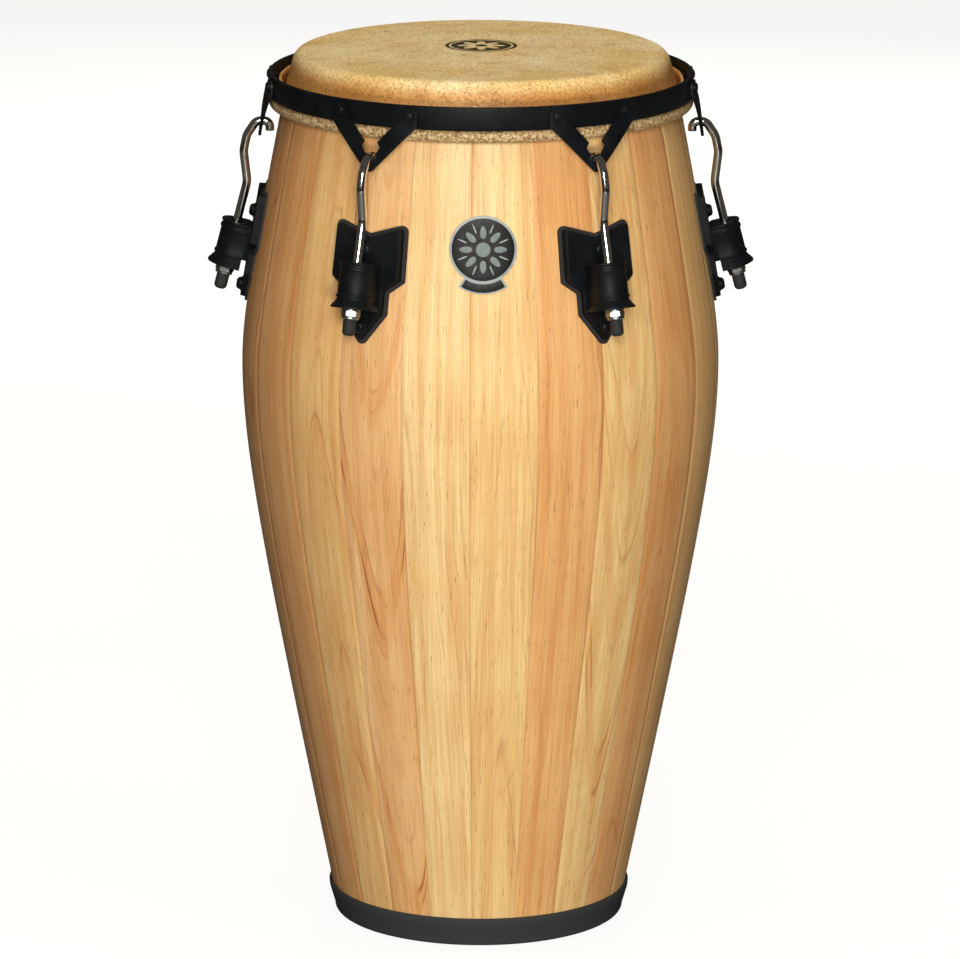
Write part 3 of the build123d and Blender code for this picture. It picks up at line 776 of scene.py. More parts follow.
def beside(path: list[Point], distance: float) -> list[Point]:
    """The path moved sideways, to its left.

    Args:
        path: points of the path.
        distance: how far it moves, in metres.

    Returns:
        The moved path.
    """
    moved = []
    for i, (x, y) in enumerate(path):
        ax, ay = path[max(i - 1, 0)]
        bx, by = path[min(i + 1, len(path) - 1)]
        length = math.hypot(bx - ax, by - ay)
        moved.append((x - (by - ay) / length * distance, y + (bx - ax) / length * distance))
    return moved


def softened(node: str, width: float, segments: int = 2) -> Piece:
    """A merged copy of a CAD node with its sharp edges bevelled.

    Args:
        node: the CAD node's name.
        width: the bevel's width in metres.
        segments: faces across each bevel.

    Returns:
        The new piece, at the origin, with no modifier left on it.
    """
    mesh = frame["nodes"][node].data.copy()
    if "custom_normal" in mesh.attributes:
        mesh.attributes.remove(mesh.attributes["custom_normal"])
    work = bmesh.new()
    work.from_mesh(mesh)
    bmesh.ops.remove_doubles(work, verts=work.verts, dist=0.002 * MM)
    flat = math.radians(0.3)
    bmesh.ops.dissolve_limit(work, angle_limit=flat, verts=work.verts, edges=work.edges)
    work.to_mesh(mesh)
    work.free()
    mesh.materials.clear()
    draft = linked(f"{node}_draft", mesh)
    bevel = draft.modifiers.new("soft_edges", "BEVEL")
    bevel.width = width
    bevel.segments = segments
    bevel.limit_method = "ANGLE"
    bevel.angle_limit = math.radians(32)
    bevel.use_clamp_overlap = True
    piece = baked(draft, f"{node}_surface")
    piece.data.shade_smooth()
    return creased(piece, 38)


def baked(draft: Piece, name: str) -> Piece:
    """The plain mesh that a draft's modifiers make; the draft is removed.

    Args:
        draft: the object with live modifiers.
        name: the new piece's name.

    Returns:
        The new piece.
    """
    graph = bpy.context.evaluated_depsgraph_get()
    mesh = bpy.data.meshes.new_from_object(draft.evaluated_get(graph), depsgraph=graph)
    mesh.name = name
    bpy.data.objects.remove(draft)
    return linked(name, mesh)


def dress(piece: Piece, finish: Finish, body: str, slot: str, *nodes: str) -> Piece:
    """Gives a piece its finish, its body and the CAD nodes it stands for.

    Args:
        piece: a finished mesh.
        finish: its finish.
        body: the body that it rides on.
        slot: not used.
        nodes: the CAD nodes that it stands for.

    Returns:
        The same piece.
    """
    piece.data.materials.clear()
    piece.data.materials.append(finish.material())
    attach(piece, body)
    if nodes:
        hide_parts(*nodes)
    log.info("%s: %d faces, rides on %s", piece.name, len(piece.data.polygons), body)
    return piece


def dress_cad(node: str, finish: Finish) -> None:
    """Gives a CAD node that keeps its own shape a finish."""
    materials = frame["nodes"][node].data.materials
    materials.clear()
    materials.append(finish.material())


# ---- Geometry node recipes ---------------------------------------------------------------------------
class Recipe:
    """A geometry node tree with named inputs, baked to plain meshes."""

    def __init__(self, name: str, sizes: dict[str, Any]) -> None:
        """Makes the tree's sockets.

        Args:
            name: the tree's name.
            sizes: each input's name and its default, a float or an int.
        """
        self.tree = bpy.data.node_groups.new(name, "GeometryNodeTree")
        self.graph = Graph(self.tree)
        self.keys: dict[str, str] = {}
        self.declare("Geometry", "NodeSocketGeometry")
        for size, default in sizes.items():
            kind = "NodeSocketInt" if isinstance(default, int) else "NodeSocketFloat"
            self.declare(size, kind).default_value = default
        self.declare("Material", "NodeSocketMaterial")
        self.tree.interface.new_socket("Geometry", in_out="OUTPUT", socket_type="NodeSocketGeometry")
        self.given = self.tree.nodes.new("NodeGroupInput").outputs

    def declare(self, name: str, kind: str) -> Any:
        """Adds one named input and keeps its identifier."""
        socket = self.tree.interface.new_socket(name, in_out="INPUT", socket_type=kind)
        self.keys[name] = socket.identifier
        return socket

    def close(self, geometry: Socket) -> None:
        """Ends the tree with Realize Instances and Set Material.

        Args:
            geometry: the recipe's result before its material is set.
        """
        real = self.graph.add("GeometryNodeRealizeInstances", {0: geometry})
        painted = self.graph.add(
            "GeometryNodeSetMaterial", {"Geometry": real.outputs[0], "Material": self.given["Material"]}
        )
        self.graph.add("NodeGroupOutput", {0: painted.outputs[0]})

    def make(self, name: str, draft: Piece, finish: Finish, **sizes: float) -> Piece:
        """Runs the tree on a draft object and returns the plain mesh as a new piece.

        Args:
            name: the new piece's name.
            draft: the object that the tree works on; it is removed.
            finish: the finish that the tree sets.
            sizes: input values, with _ for each space in their names.

        Returns:
            The new piece, with no modifier left on it.
        """
        modifier = draft.modifiers.new(self.tree.name, "NODES")
        modifier.node_group = self.tree
        modifier[self.keys["Material"]] = finish.material()
        for size, value in sizes.items():
            modifier[self.keys[size.replace("_", " ")]] = value
        return baked(draft, name)


def ring_recipe() -> Recipe:
    """Copies of one piece spaced round the drum's axis, each numbered in the attribute stave.

    Returns:
        The recipe.
    """
    recipe = Recipe("ring_of_copies", {"Count": 6, "First Turn": 0.0, "Step Turn": 1.0})
    graph, given = recipe.graph, recipe.given
    centres = graph.add("GeometryNodePoints", {"Count": given["Count"]})
    number = graph.add("GeometryNodeInputIndex").outputs[0]
    turn = graph.plus(graph.times(number, given["Step Turn"]), given["First Turn"])
    euler = graph.add("ShaderNodeCombineXYZ", {"Z": turn}).outputs[0]
    rotation = graph.add("FunctionNodeEulerToRotation", {0: euler}).outputs[0]
    copies = graph.add(
        "GeometryNodeInstanceOnPoints",
        {"Points": centres.outputs[0], "Instance": given["Geometry"], "Rotation": rotation},
    )
    order = graph.add("GeometryNodeInputIndex").outputs[0]
    numbered = graph.add(
        "GeometryNodeStoreNamedAttribute",
        {"Geometry": copies.outputs[0], "Name": "stave", "Value": order},
        data_type="FLOAT",
        domain="INSTANCE",
    )
    recipe.close(numbered.outputs[0])
    return recipe


def thread_recipe() -> Recipe:
    """A screw thread on a cylinder that stands on the origin: a tube whose radius follows the turn.

    Returns:
        The recipe.
    """
    recipe = Recipe(
        "screw_thread", {"Length": 0.03, "Pitch": 0.00125, "Root Radius": 0.0035, "Crest Radius": 0.004}
    )
    graph, given = recipe.graph, recipe.given
    turns = graph.math("DIVIDE", given["Length"], given["Pitch"])
    rings = graph.math("CEIL", graph.times(turns, 8.0))
    tube = graph.add(
        "GeometryNodeMeshCylinder",
        {"Vertices": 40, "Side Segments": rings, "Radius": 1.0, "Depth": given["Length"]},
        fill_type="NGON",
    )
    position = graph.add("GeometryNodeInputPosition").outputs[0]
    x, y, z = graph.add("ShaderNodeSeparateXYZ", {0: position}).outputs
    turn = graph.math("DIVIDE", graph.math("ARCTAN2", y, x), 2 * math.pi)
    phase = graph.math("FRACT", graph.minus(graph.math("DIVIDE", z, given["Pitch"]), turn))
    flank = graph.math("ABSOLUTE", graph.minus(graph.times(phase, 2.0), 1.0))
    rise = graph.times(flank, graph.minus(given["Crest Radius"], given["Root Radius"]))
    radius = graph.plus(given["Root Radius"], rise)
    place = graph.add(
        "ShaderNodeCombineXYZ",
        {0: graph.times(x, radius), 1: graph.times(y, radius), 2: z},
    )
    cut = graph.add("GeometryNodeSetPosition", {"Geometry": tube.outputs[0], "Position": place.outputs[0]})
    recipe.close(cut.outputs[0])
    return recipe


# ---- The drum's layout -------------------------------------------------------------------------------
@dataclass(frozen=True)
class Lug:
    """One of the drum's tuning stations: its number, its turn from the front and its hook's axis."""

    number: int
    turn: float
    foot: Vector
    axis: Vector

    def node(self, name: str) -> str:
        """The name of this station's CAD node."""
        return f"{name}_{self.number}"

    def matrix(self) -> Matrix:
        """From a piece built upwards on the origin to this hook's axis at the barrel's bottom.

        Returns:
            The placing matrix.
        """
        side = Vector((math.cos(self.turn), math.sin(self.turn), 0))
        back = self.axis.cross(side)
        columns = Matrix((side, back, self.axis)).transposed().to_4x4()
        return Matrix.Translation(self.foot) @ columns


def lugs() -> list[Lug]:
    """The stations, read from the joints that the nuts turn on.

    Returns:
        The stations, in the order of the joints.
    """
    found = []
    for joint in frame["joints"]:
        if joint["name"].startswith("nut_turn_"):
            x, y, z = joint["pos_m"]
            number = int(joint["name"].rsplit("_", 1)[1])
            found.append(Lug(number, math.atan2(x, -y), Vector((x, y, z)), Vector(joint["axis"])))
    return found


@dataclass(frozen=True)
class Barrel:
    """The shell's outline: two straight flanks joined by a rounded belly."""

    total_height: float = 711.0 * MM
    foot_radius: float = 115.3 * MM
    belly_radius: float = 191.9 * MM
    belly_height: float = 458.0 * MM
    top_radius: float = 150.75 * MM
    lower_softness: float = 20.4 * MM
    upper_softness: float = 10.0 * MM
    flank_top: float = 655.0 * MM
    edge_middle: Point = (141.0 * MM, 701.0 * MM)
    edge_round: float = 7.7 * MM
    wood_floor: float = 7.0 * MM

    def edge_lean(self) -> float:
        """Angle at which the straight slope under the bearing edge meets its round."""
        foot = Vector((self.radius(self.flank_top), self.flank_top)) - Vector(self.edge_middle)
        return math.atan2(foot.y, foot.x) + math.acos(self.edge_round / foot.length)

    def radius(self, z: float) -> float:
        """Outer radius of the shell at a height.

        Args:
            z: the height, in metres.

        Returns:
            The radius, in metres.
        """
        if z < self.belly_height:
            end, softness, length = self.foot_radius, self.lower_softness, self.belly_height
        else:
            end, softness = self.top_radius, self.upper_softness
            length = self.total_height - self.belly_height
        drop = self.belly_radius - end
        slope = math.sqrt((drop + softness) ** 2 - softness**2) / length
        return self.belly_radius + softness - math.hypot(slope * (z - self.belly_height), softness)

    def on_front(self, x: float, y: float, lift: float, middle: float) -> tuple[float, float, float]:
        """A flat point laid on the shell's front: x aside, y above a middle height, lifted off it.

        Args:
            x: distance aside.
            y: distance above the middle height.
            lift: distance off the wood.
            middle: the middle height.

        Returns:
            The point in space.
        """
        step = 1 * MM
        lean = math.atan((self.radius(middle) - self.radius(middle + step)) / step)
        z = middle + y * math.cos(lean) + lift * math.sin(lean)
        turn = x / self.radius(z)
        r = self.radius(z) + lift * math.cos(lean)
        return (r * math.sin(turn), -r * math.cos(turn), z)


BARREL = Barrel()


class Tone(Enum):
    """Body colours of the wood's boards."""

    CREAM = "efd49a"
    STRAW = "ebcc8e"
    HONEY = "e8c284"
    PEACH = "e9c088"
    APRICOT = "e4b67a"
    TAN = "e0b075"


@dataclass(frozen=True)
class Board:
    """One stave's tone and figure: heart across it in metres, slope of its arches, strength."""

    tone: Tone
    heart: float
    slope: float
    strength: float


@dataclass
class Shell:
    """The glued staves, the rings inside them and the rubber foot."""

    thickness: float = 13.0 * MM
    chamfer: float = 2.0 * MM
    levels: int = 96
    arc: int = 12
    count: int = 22
    first_joint: float = -3.1
    groove_width: float = 0.45 * MM
    groove_depth: float = 0.16 * MM

    def boards(self) -> list[Board]:
        """The staves from the front towards +X; those behind repeat a mixed run.

        Returns:
            One board for each stave.
        """
        front = [
            Board(Tone.STRAW, 4 * MM, 0.045, 0.45),
            Board(Tone.APRICOT, -30 * MM, 0.02, 0.75),
            Board(Tone.STRAW, 2 * MM, -0.16, 0.75),
            Board(Tone.TAN, -3 * MM, 0.14, 1.0),
            Board(Tone.HONEY, 24 * MM, 0.03, 0.60),
        ]
        left = [
            Board(Tone.TAN, 12 * MM, -0.10, 0.70),
            Board(Tone.TAN, -22 * MM, 0.04, 0.55),
            Board(Tone.HONEY, 5 * MM, 0.12, 0.70),
            Board(Tone.PEACH, 3 * MM, -0.13, 1.0),
            Board(Tone.CREAM, -26 * MM, 0.03, 0.30),
        ]
        behind = []
        tones = list(Tone)
        for i in range(self.count - len(front) - len(left)):
            heart = 30 * MM * math.sin(2.4 * i)
            slope = 0.13 * math.cos(1.7 * i)
            behind.append(Board(tones[(3 * i + 1) % len(tones)], heart, slope, 0.5 + 0.4 * math.sin(i)))
        return [*front, *behind, *left]

    def section(self) -> tuple[list[Point], int]:
        """The stave's outline as (radius, height), and how many of its points lie outside.

        Returns:
            The outline, outer side first, and the number of outer points.
        """
        floor, (edge_x, edge_z) = BARREL.wood_floor, BARREL.edge_middle
        start = floor + self.chamfer
        wall = [start + (BARREL.flank_top - start) * i / self.levels for i in range(self.levels + 1)]
        outer = [(BARREL.radius(floor) - self.chamfer, floor)] + [(BARREL.radius(z), z) for z in wall]
        lean = BARREL.edge_lean()
        for i in range(self.arc + 1):
            angle = lean + (math.pi / 2 - lean) * i / self.arc
            across = edge_x + BARREL.edge_round * math.cos(angle)
            outer.append((across, edge_z + BARREL.edge_round * math.sin(angle)))
        top, steps = outer[-1][1], self.levels // 2
        inner = [top + (floor - top) * i / steps for i in range(steps + 1)]
        return outer + [(BARREL.radius(z) - self.thickness, z) for z in inner], len(outer)

    def stave(self) -> Piece:
        """One stave at the front, with eased joint edges and the UV map grain in metres.

        Returns:
            The stave as a draft for the ring recipe.
        """
        outline, outside = self.section()
        half = math.pi / self.count
        easing = self.groove_width / BARREL.belly_radius / half
        inside = [-1 + easing + (2 - 2 * easing) * i / 10 for i in range(11)]
        shares = [-1.0, *inside, 1.0]
        points, uvs, sides = [], [], []
        for share in shares:
            depth = self.groove_depth if abs(share) == 1 else 0.0
            for i, (r, z) in enumerate(outline):
                eased = r - depth if i < outside else r
                points.append((eased * math.sin(half * share), -eased * math.cos(half * share), z))
                uvs.append((r * half * share, z))
                sides.append(share)
        count = len(outline)
        faces = []
        for here in range(0, (len(shares) - 1) * count, count):
            for j in range(count):
                k = (j + 1) % count
                faces.append((here + j, here + count + j, here + count + k, here + k))
        inner = count - outside - 1
        for first in (0, (len(shares) - 1) * count):
            last = first + count - 1
            for j in range(outside - 1):
                c, d = (last - round(k * inner / (outside - 1)) for k in (j + 1, j))
                corners = (first + j, first + j + 1, c)
                faces.append(corners if c == d else (*corners, d))
        mesh = bpy.data.meshes.new("stave")
        mesh.from_pydata(points, [], faces)
        layer = mesh.uv_layers.new(name="grain")
        for loop in mesh.loops:
            layer.data[loop.index].uv = uvs[loop.vertex_index]
        mesh.attributes.new("share", "FLOAT", "POINT").data.foreach_set("value", sides)
        work = bmesh.new()
        work.from_mesh(mesh)
        bmesh.ops.recalc_face_normals(work, faces=work.faces)
        work.to_mesh(mesh)
        work.free()
        mesh.shade_smooth()
        mesh.set_sharp_from_angle(angle=math.radians(50))
        return linked("stave_draft", mesh)

    def build(self, ring: Recipe) -> Piece:
        """All staves as one piece, each with its board's tone and figure.

        Args:
            ring: the recipe that sets copies round the axis.

        Returns:
            The whole wooden shell.
        """
        step = 2 * math.pi / self.count
        first = math.radians(self.first_joint) + step / 2
        shell = ring.make(
            "stave_shell", self.stave(), STAVES, Count=self.count, First_Turn=first, Step_Turn=step
        )
        number = np.zeros(len(shell.data.vertices), np.float32)
        shell.data.attributes["stave"].data.foreach_get("value", number)
        boards = self.boards()
        tones = np.array([shade(b.tone.value) for b in boards], np.float32)
        figures = np.array([(b.heart, b.slope, b.strength) for b in boards], np.float32)
        index = np.rint(number).astype(int)
        tone = shell.data.attributes.new("tone", "FLOAT_COLOR", "POINT")
        tone.data.foreach_set("color", tones[index].ravel())
        figure = shell.data.attributes.new("figure", "FLOAT_VECTOR", "POINT")
        figure.data.foreach_set("vector", figures[index].ravel())
        return shell

    def dress(self, shell: Piece) -> None:
        """Finishes the staves and the rings inside."""
        dress(shell, STAVES, "shell", "stave_wood", "shell_staves")
        for node in ("shell_top_ring", "shell_foot_ring"):
            dress_cad(node, BARE_WOOD)


@dataclass
class RubberFoot:
    """The rubber channel under the shell, with a rolled lip and a soft bottom corner."""

    lip_wall: float = 2.5 * MM
    lip_lean: float = 0.5 * MM
    lip_depth: float = 5.0 * MM
    inner_lip: float = 18.0 * MM
    inner_wall: float = 5.0 * MM
    wall_inset: float = 24.3 * MM
    corner: float = 5.5 * MM
    tread: float = 7.0 * MM
    bore_chamfer: float = 1.0 * MM
    channel_gap: float = 0.5 * MM
    wood_inset: float = 4.0 * MM
    segments: int = 288

    def build(self) -> Piece:
        """The turned channel, its wall rounded at every edge.

        Returns:
            The channel.
        """
        low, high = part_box("rubber_foot")
        wood, lip = BARREL.wood_floor, high.z
        outer_lip = BARREL.radius(lip) + self.lip_wall
        toe = BARREL.radius(wood) + self.lip_wall / 2
        bore = BARREL.radius(wood) - self.wall_inset
        outer = [
            (BARREL.radius(lip) - 0.5 * MM, lip - 0.4 * MM),
            (BARREL.radius(lip) + 0.2 * MM, lip),
            (outer_lip, lip),
            (outer_lip - self.lip_lean, lip - self.lip_depth),
            (toe + 0.1 * MM, low.z + self.corner),
            (toe - 0.6 * MM, low.z),
            (toe - self.tread, low.z),
        ]
        bed = low.z + wood - self.channel_gap
        rest = [
            (bore + self.bore_chamfer, low.z),
            (bore, low.z + self.bore_chamfer),
            (bore, low.z + self.inner_lip),
            (bore + self.inner_wall, low.z + self.inner_lip),
            (bore + self.inner_wall, bed),
            (BARREL.radius(wood) - self.wood_inset, bed),
        ]
        path = rounded(outer, [0.3 * MM, 1.1 * MM, 8.0 * MM, 5.0 * MM, 3.2 * MM], 6)
        return lathe("foot_channel", evenly(path, 4.0 * MM) + rest, self.segments)

    def dress(self, foot: Piece) -> None:
        """Finishes the channel."""
        dress(creased(foot, 50), FOOT_RUBBER, "shell", "foot_rubber", "rubber_foot")


@dataclass
class DrumHead:
    """The rawhide: flat face, rolled edge, skirt, tuck round the flesh ring and trimmed edge."""

    skin: float = 2.2 * MM
    seat: float = 0.1 * MM
    gap: float = 0.3 * MM
    ring_width: float = 5.6 * MM
    leave_height: float = 679.0 * MM
    leave_round: float = 10.0 * MM
    tuck_round: float = 6.0 * MM
    tuck_straight: float = 2.5 * MM
    corner_slack: float = 0.1 * MM
    trimmed_height: float = 689.3 * MM
    trimmed_lean: float = 2.0 * MM
    trimmed_start: float = 684.0 * MM
    trimmed_span: float = 6.0 * MM
    trimmed_radii: Point = (158.5 * MM, 164.0 * MM)
    trimmed_wave: float = 0.55 * MM
    trimmed_drop: float = 0.6 * MM
    tuck_wave: float = 0.16 * MM
    waves: int = 6
    segments: int = 264

    def path(self) -> list[Point]:
        """The middle of the skin's thickness from the centre of its face to its trimmed edge.

        Returns:
            The path's points as (radius, height).
        """
        low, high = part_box("flesh_ring")
        depth, middle = high.z - low.z, (low.z + high.z) / 2
        ring = high.x - self.ring_width / 2
        aside = self.ring_width / 2 + self.gap + self.skin / 2
        over = depth / 2 + self.gap + self.skin / 2
        bend = BARREL.edge_round + self.seat + self.skin / 2
        lean = BARREL.edge_lean()
        touch = Vector(BARREL.edge_middle) + bend * Vector((math.cos(lean), math.sin(lean)))
        face = BARREL.edge_middle[1] + bend

        def skirt(z: float) -> Point:
            """The point of the skirt's line at a height."""
            return (touch.x + (touch.y - z) * math.tan(lean), z)

        points = [
            (0.0, face),
            skirt(face),
            skirt(self.leave_height),
            (ring - aside, middle + self.tuck_straight),
            (ring - aside, middle - over),
            (ring + aside, middle - over),
            (ring + aside, middle + over),
            (ring - self.trimmed_lean, middle + over),
            (ring - 2 * self.trimmed_lean, self.trimmed_height),
        ]
        corner = over - self.corner_slack
        radii = [bend, self.leave_round, self.tuck_round, corner, corner, corner, self.trimmed_lean]
        return evenly(rounded(points, radii, 10), 5.0 * MM)

    def build(self) -> Piece:
        """The turned skin, with an uneven tuck and a wavy trimmed edge.

        Returns:
            The skin.
        """
        path = self.path()
        upper = beside(path, self.skin / 2)
        lower = beside(path, -self.skin / 2)
        upper[0] = (0.0, upper[0][1])
        lower[0] = (0.0, lower[0][1])
        skin = lathe("rawhide_head", upper + lower[::-1], self.segments)
        top = CAD_BOX[1].z
        phases = np.random.default_rng(SEED).uniform(0, 2 * math.pi, self.waves)
        inner, outer = self.trimmed_radii
        for vertex in skin.data.vertices:
            x, y, z = vertex.co
            radius, turn = math.hypot(x, y), math.atan2(x, -y)
            wave = sum(math.sin((5 + 7 * k) * turn + p) / (1 + k) for k, p in enumerate(phases))
            if radius > 150 * MM and z < top - 30 * MM:
                swell = 1 + self.tuck_wave * wave / radius
                vertex.co = (x * swell, y * swell, z)
            if inner < radius < outer and self.trimmed_start < z < top - 18 * MM:
                share = (z - self.trimmed_start) / self.trimmed_span
                vertex.co.z += share * (self.trimmed_wave * wave - self.trimmed_drop)
        skin.data.update()
        return skin

    def dress(self, skin: Piece) -> None:
        """Finishes the skin, which stretches between the shell and the rim.

        Args:
            skin: the turned skin.
        """
        skin.data.materials.clear()
        skin.data.materials.append(HEAD.material())
        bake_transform(skin)
        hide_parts("drum_skin")
        log.info("%s: %d faces, stretches from shell to rim", skin.name, len(skin.data.polygons))
        dress_cad("flesh_ring", ZINC)


@dataclass
class Rim:
    """The flat steel rim with its riveted claws."""

    thickness: float = 3.7 * MM
    edge_round: float = 1.1 * MM
    segments: int = 360
    rivet_spread: float = 31.0 * MM
    rivet_drop: float = 8.6 * MM
    rivet_radius: float = 4.2 * MM
    rivet_height: float = 2.5 * MM
    rivet_seat: float = 2.55 * MM
    rivet_brim: float = 0.35 * MM
    rivet_fullness: float = 0.72
    shank_radius: float = 2.5 * MM
    shank_length: float = 8.0 * MM
    claw_edge: float = 0.35 * MM

    def build_band(self) -> Piece:
        """The rim's turned band.

        Returns:
            The band.
        """
        low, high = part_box("rim")
        outer, inner = high.x, high.x - self.thickness
        start = (inner, (low.z + high.z) / 2)
        corners = [start, (inner, high.z), (outer, high.z), (outer, low.z), (inner, low.z), start]
        path = rounded(corners, [self.edge_round] * 4, 5)
        return lathe("rim_band", path[:-1], self.segments)

    def rivet_pair(self) -> Piece:
        """Two domed rivets at the front, one for each ear of a claw.

        Returns:
            The pair as a draft for the ring recipe.
        """
        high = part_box("rim")[1]
        seat = high.x + self.rivet_seat
        height = high.z - self.rivet_drop
        aside = math.atan2(self.rivet_spread, high.x)
        steps, around = 8, 28
        shank, brim = self.shank_radius, self.rivet_brim
        outline = [(0.0, -self.shank_length), (shank, -self.shank_length), (shank, 0.0)]
        outline += [(self.rivet_radius, 0.0), (self.rivet_radius, brim)]
        for i in range(1, steps + 1):
            share = math.pi / 2 * i / steps
            radius = self.rivet_radius * math.cos(share) ** self.rivet_fullness if i < steps else 0.0
            outline.append((radius, brim + (self.rivet_height - brim) * math.sin(share)))
        pair = lathe("rivet_draft", outline, around)
        work = bmesh.new()
        for side in (-1, 1):
            turn = Matrix.Rotation(side * aside, 4, "Z")
            stand = Matrix.Translation((0, -seat, height)) @ Matrix.Rotation(math.pi / 2, 4, "X")
            copy = pair.data.copy()
            copy.transform(turn @ stand)
            work.from_mesh(copy)
            bpy.data.meshes.remove(copy)
        work.to_mesh(pair.data)
        work.free()
        pair.data.shade_smooth()
        return creased(pair, 40)

    def build(self, ring: Recipe, stations: list[Lug]) -> dict[str, Piece]:
        """The band, the claws and all rivets.

        Args:
            ring: the recipe that sets copies round the axis.
            stations: the drum's lugs.

        Returns:
            Each piece, by the CAD node it stands for.
        """
        made = {"rim": self.build_band()}
        for lug in stations:
            node = lug.node("claw_plate")
            made[node] = softened(node, self.claw_edge)
        step = 2 * math.pi / len(stations)
        made["claw_rivets"] = ring.make(
            "rivet_heads", self.rivet_pair(), SATIN_BLACK,
            Count=len(stations), First_Turn=stations[0].turn, Step_Turn=step,
        )
        return made

    def dress(self, made: dict[str, Piece]) -> None:
        """Finishes every piece in satin black."""
        for node, piece in made.items():
            dress(piece, SATIN_BLACK, "rim", "black_steel", node)


@dataclass
class SideHardware:
    """What is bolted to the shell at each lug: gasket, plate, barrel, washers and bolts."""

    plate_edge: float = 0.5 * MM
    gasket_edge: float = 0.35 * MM
    barrel_edge: float = 0.3 * MM

    def build(self, lug: Lug) -> dict[str, Piece]:
        """One lug's softened castings and gasket, by CAD node.

        Args:
            lug: the station.

        Returns:
            Each piece, by the CAD node it stands for.
        """
        widths = {
            "plate_gasket": self.gasket_edge,
            "side_plate": self.plate_edge,
            "hook_barrel": self.barrel_edge,
        }
        return {lug.node(name): softened(lug.node(name), width) for name, width in widths.items()}

    def dress(self, made: dict[str, Piece]) -> None:
        """Finishes one lug's pieces.

        Args:
            made: the pieces by CAD node.
        """
        for node, piece in made.items():
            if node.startswith("plate_gasket"):
                dress(piece, GASKET_RUBBER, "shell", "gasket_rubber", node)
            else:
                dress(piece, CAST_BLACK, "shell", "black_casting", node)

    def dress_fasteners(self) -> None:
        """Finishes the bolts, washers and inner nuts, which keep their CAD shapes."""
        dress(softened("plate_bolts", 0.15 * MM), SATIN_BLACK, "shell", "black_steel", "plate_bolts")
        for node in ("barrel_washers", "saddle_washers", "plate_bolt_nuts"):
            dress_cad(node, ZINC)


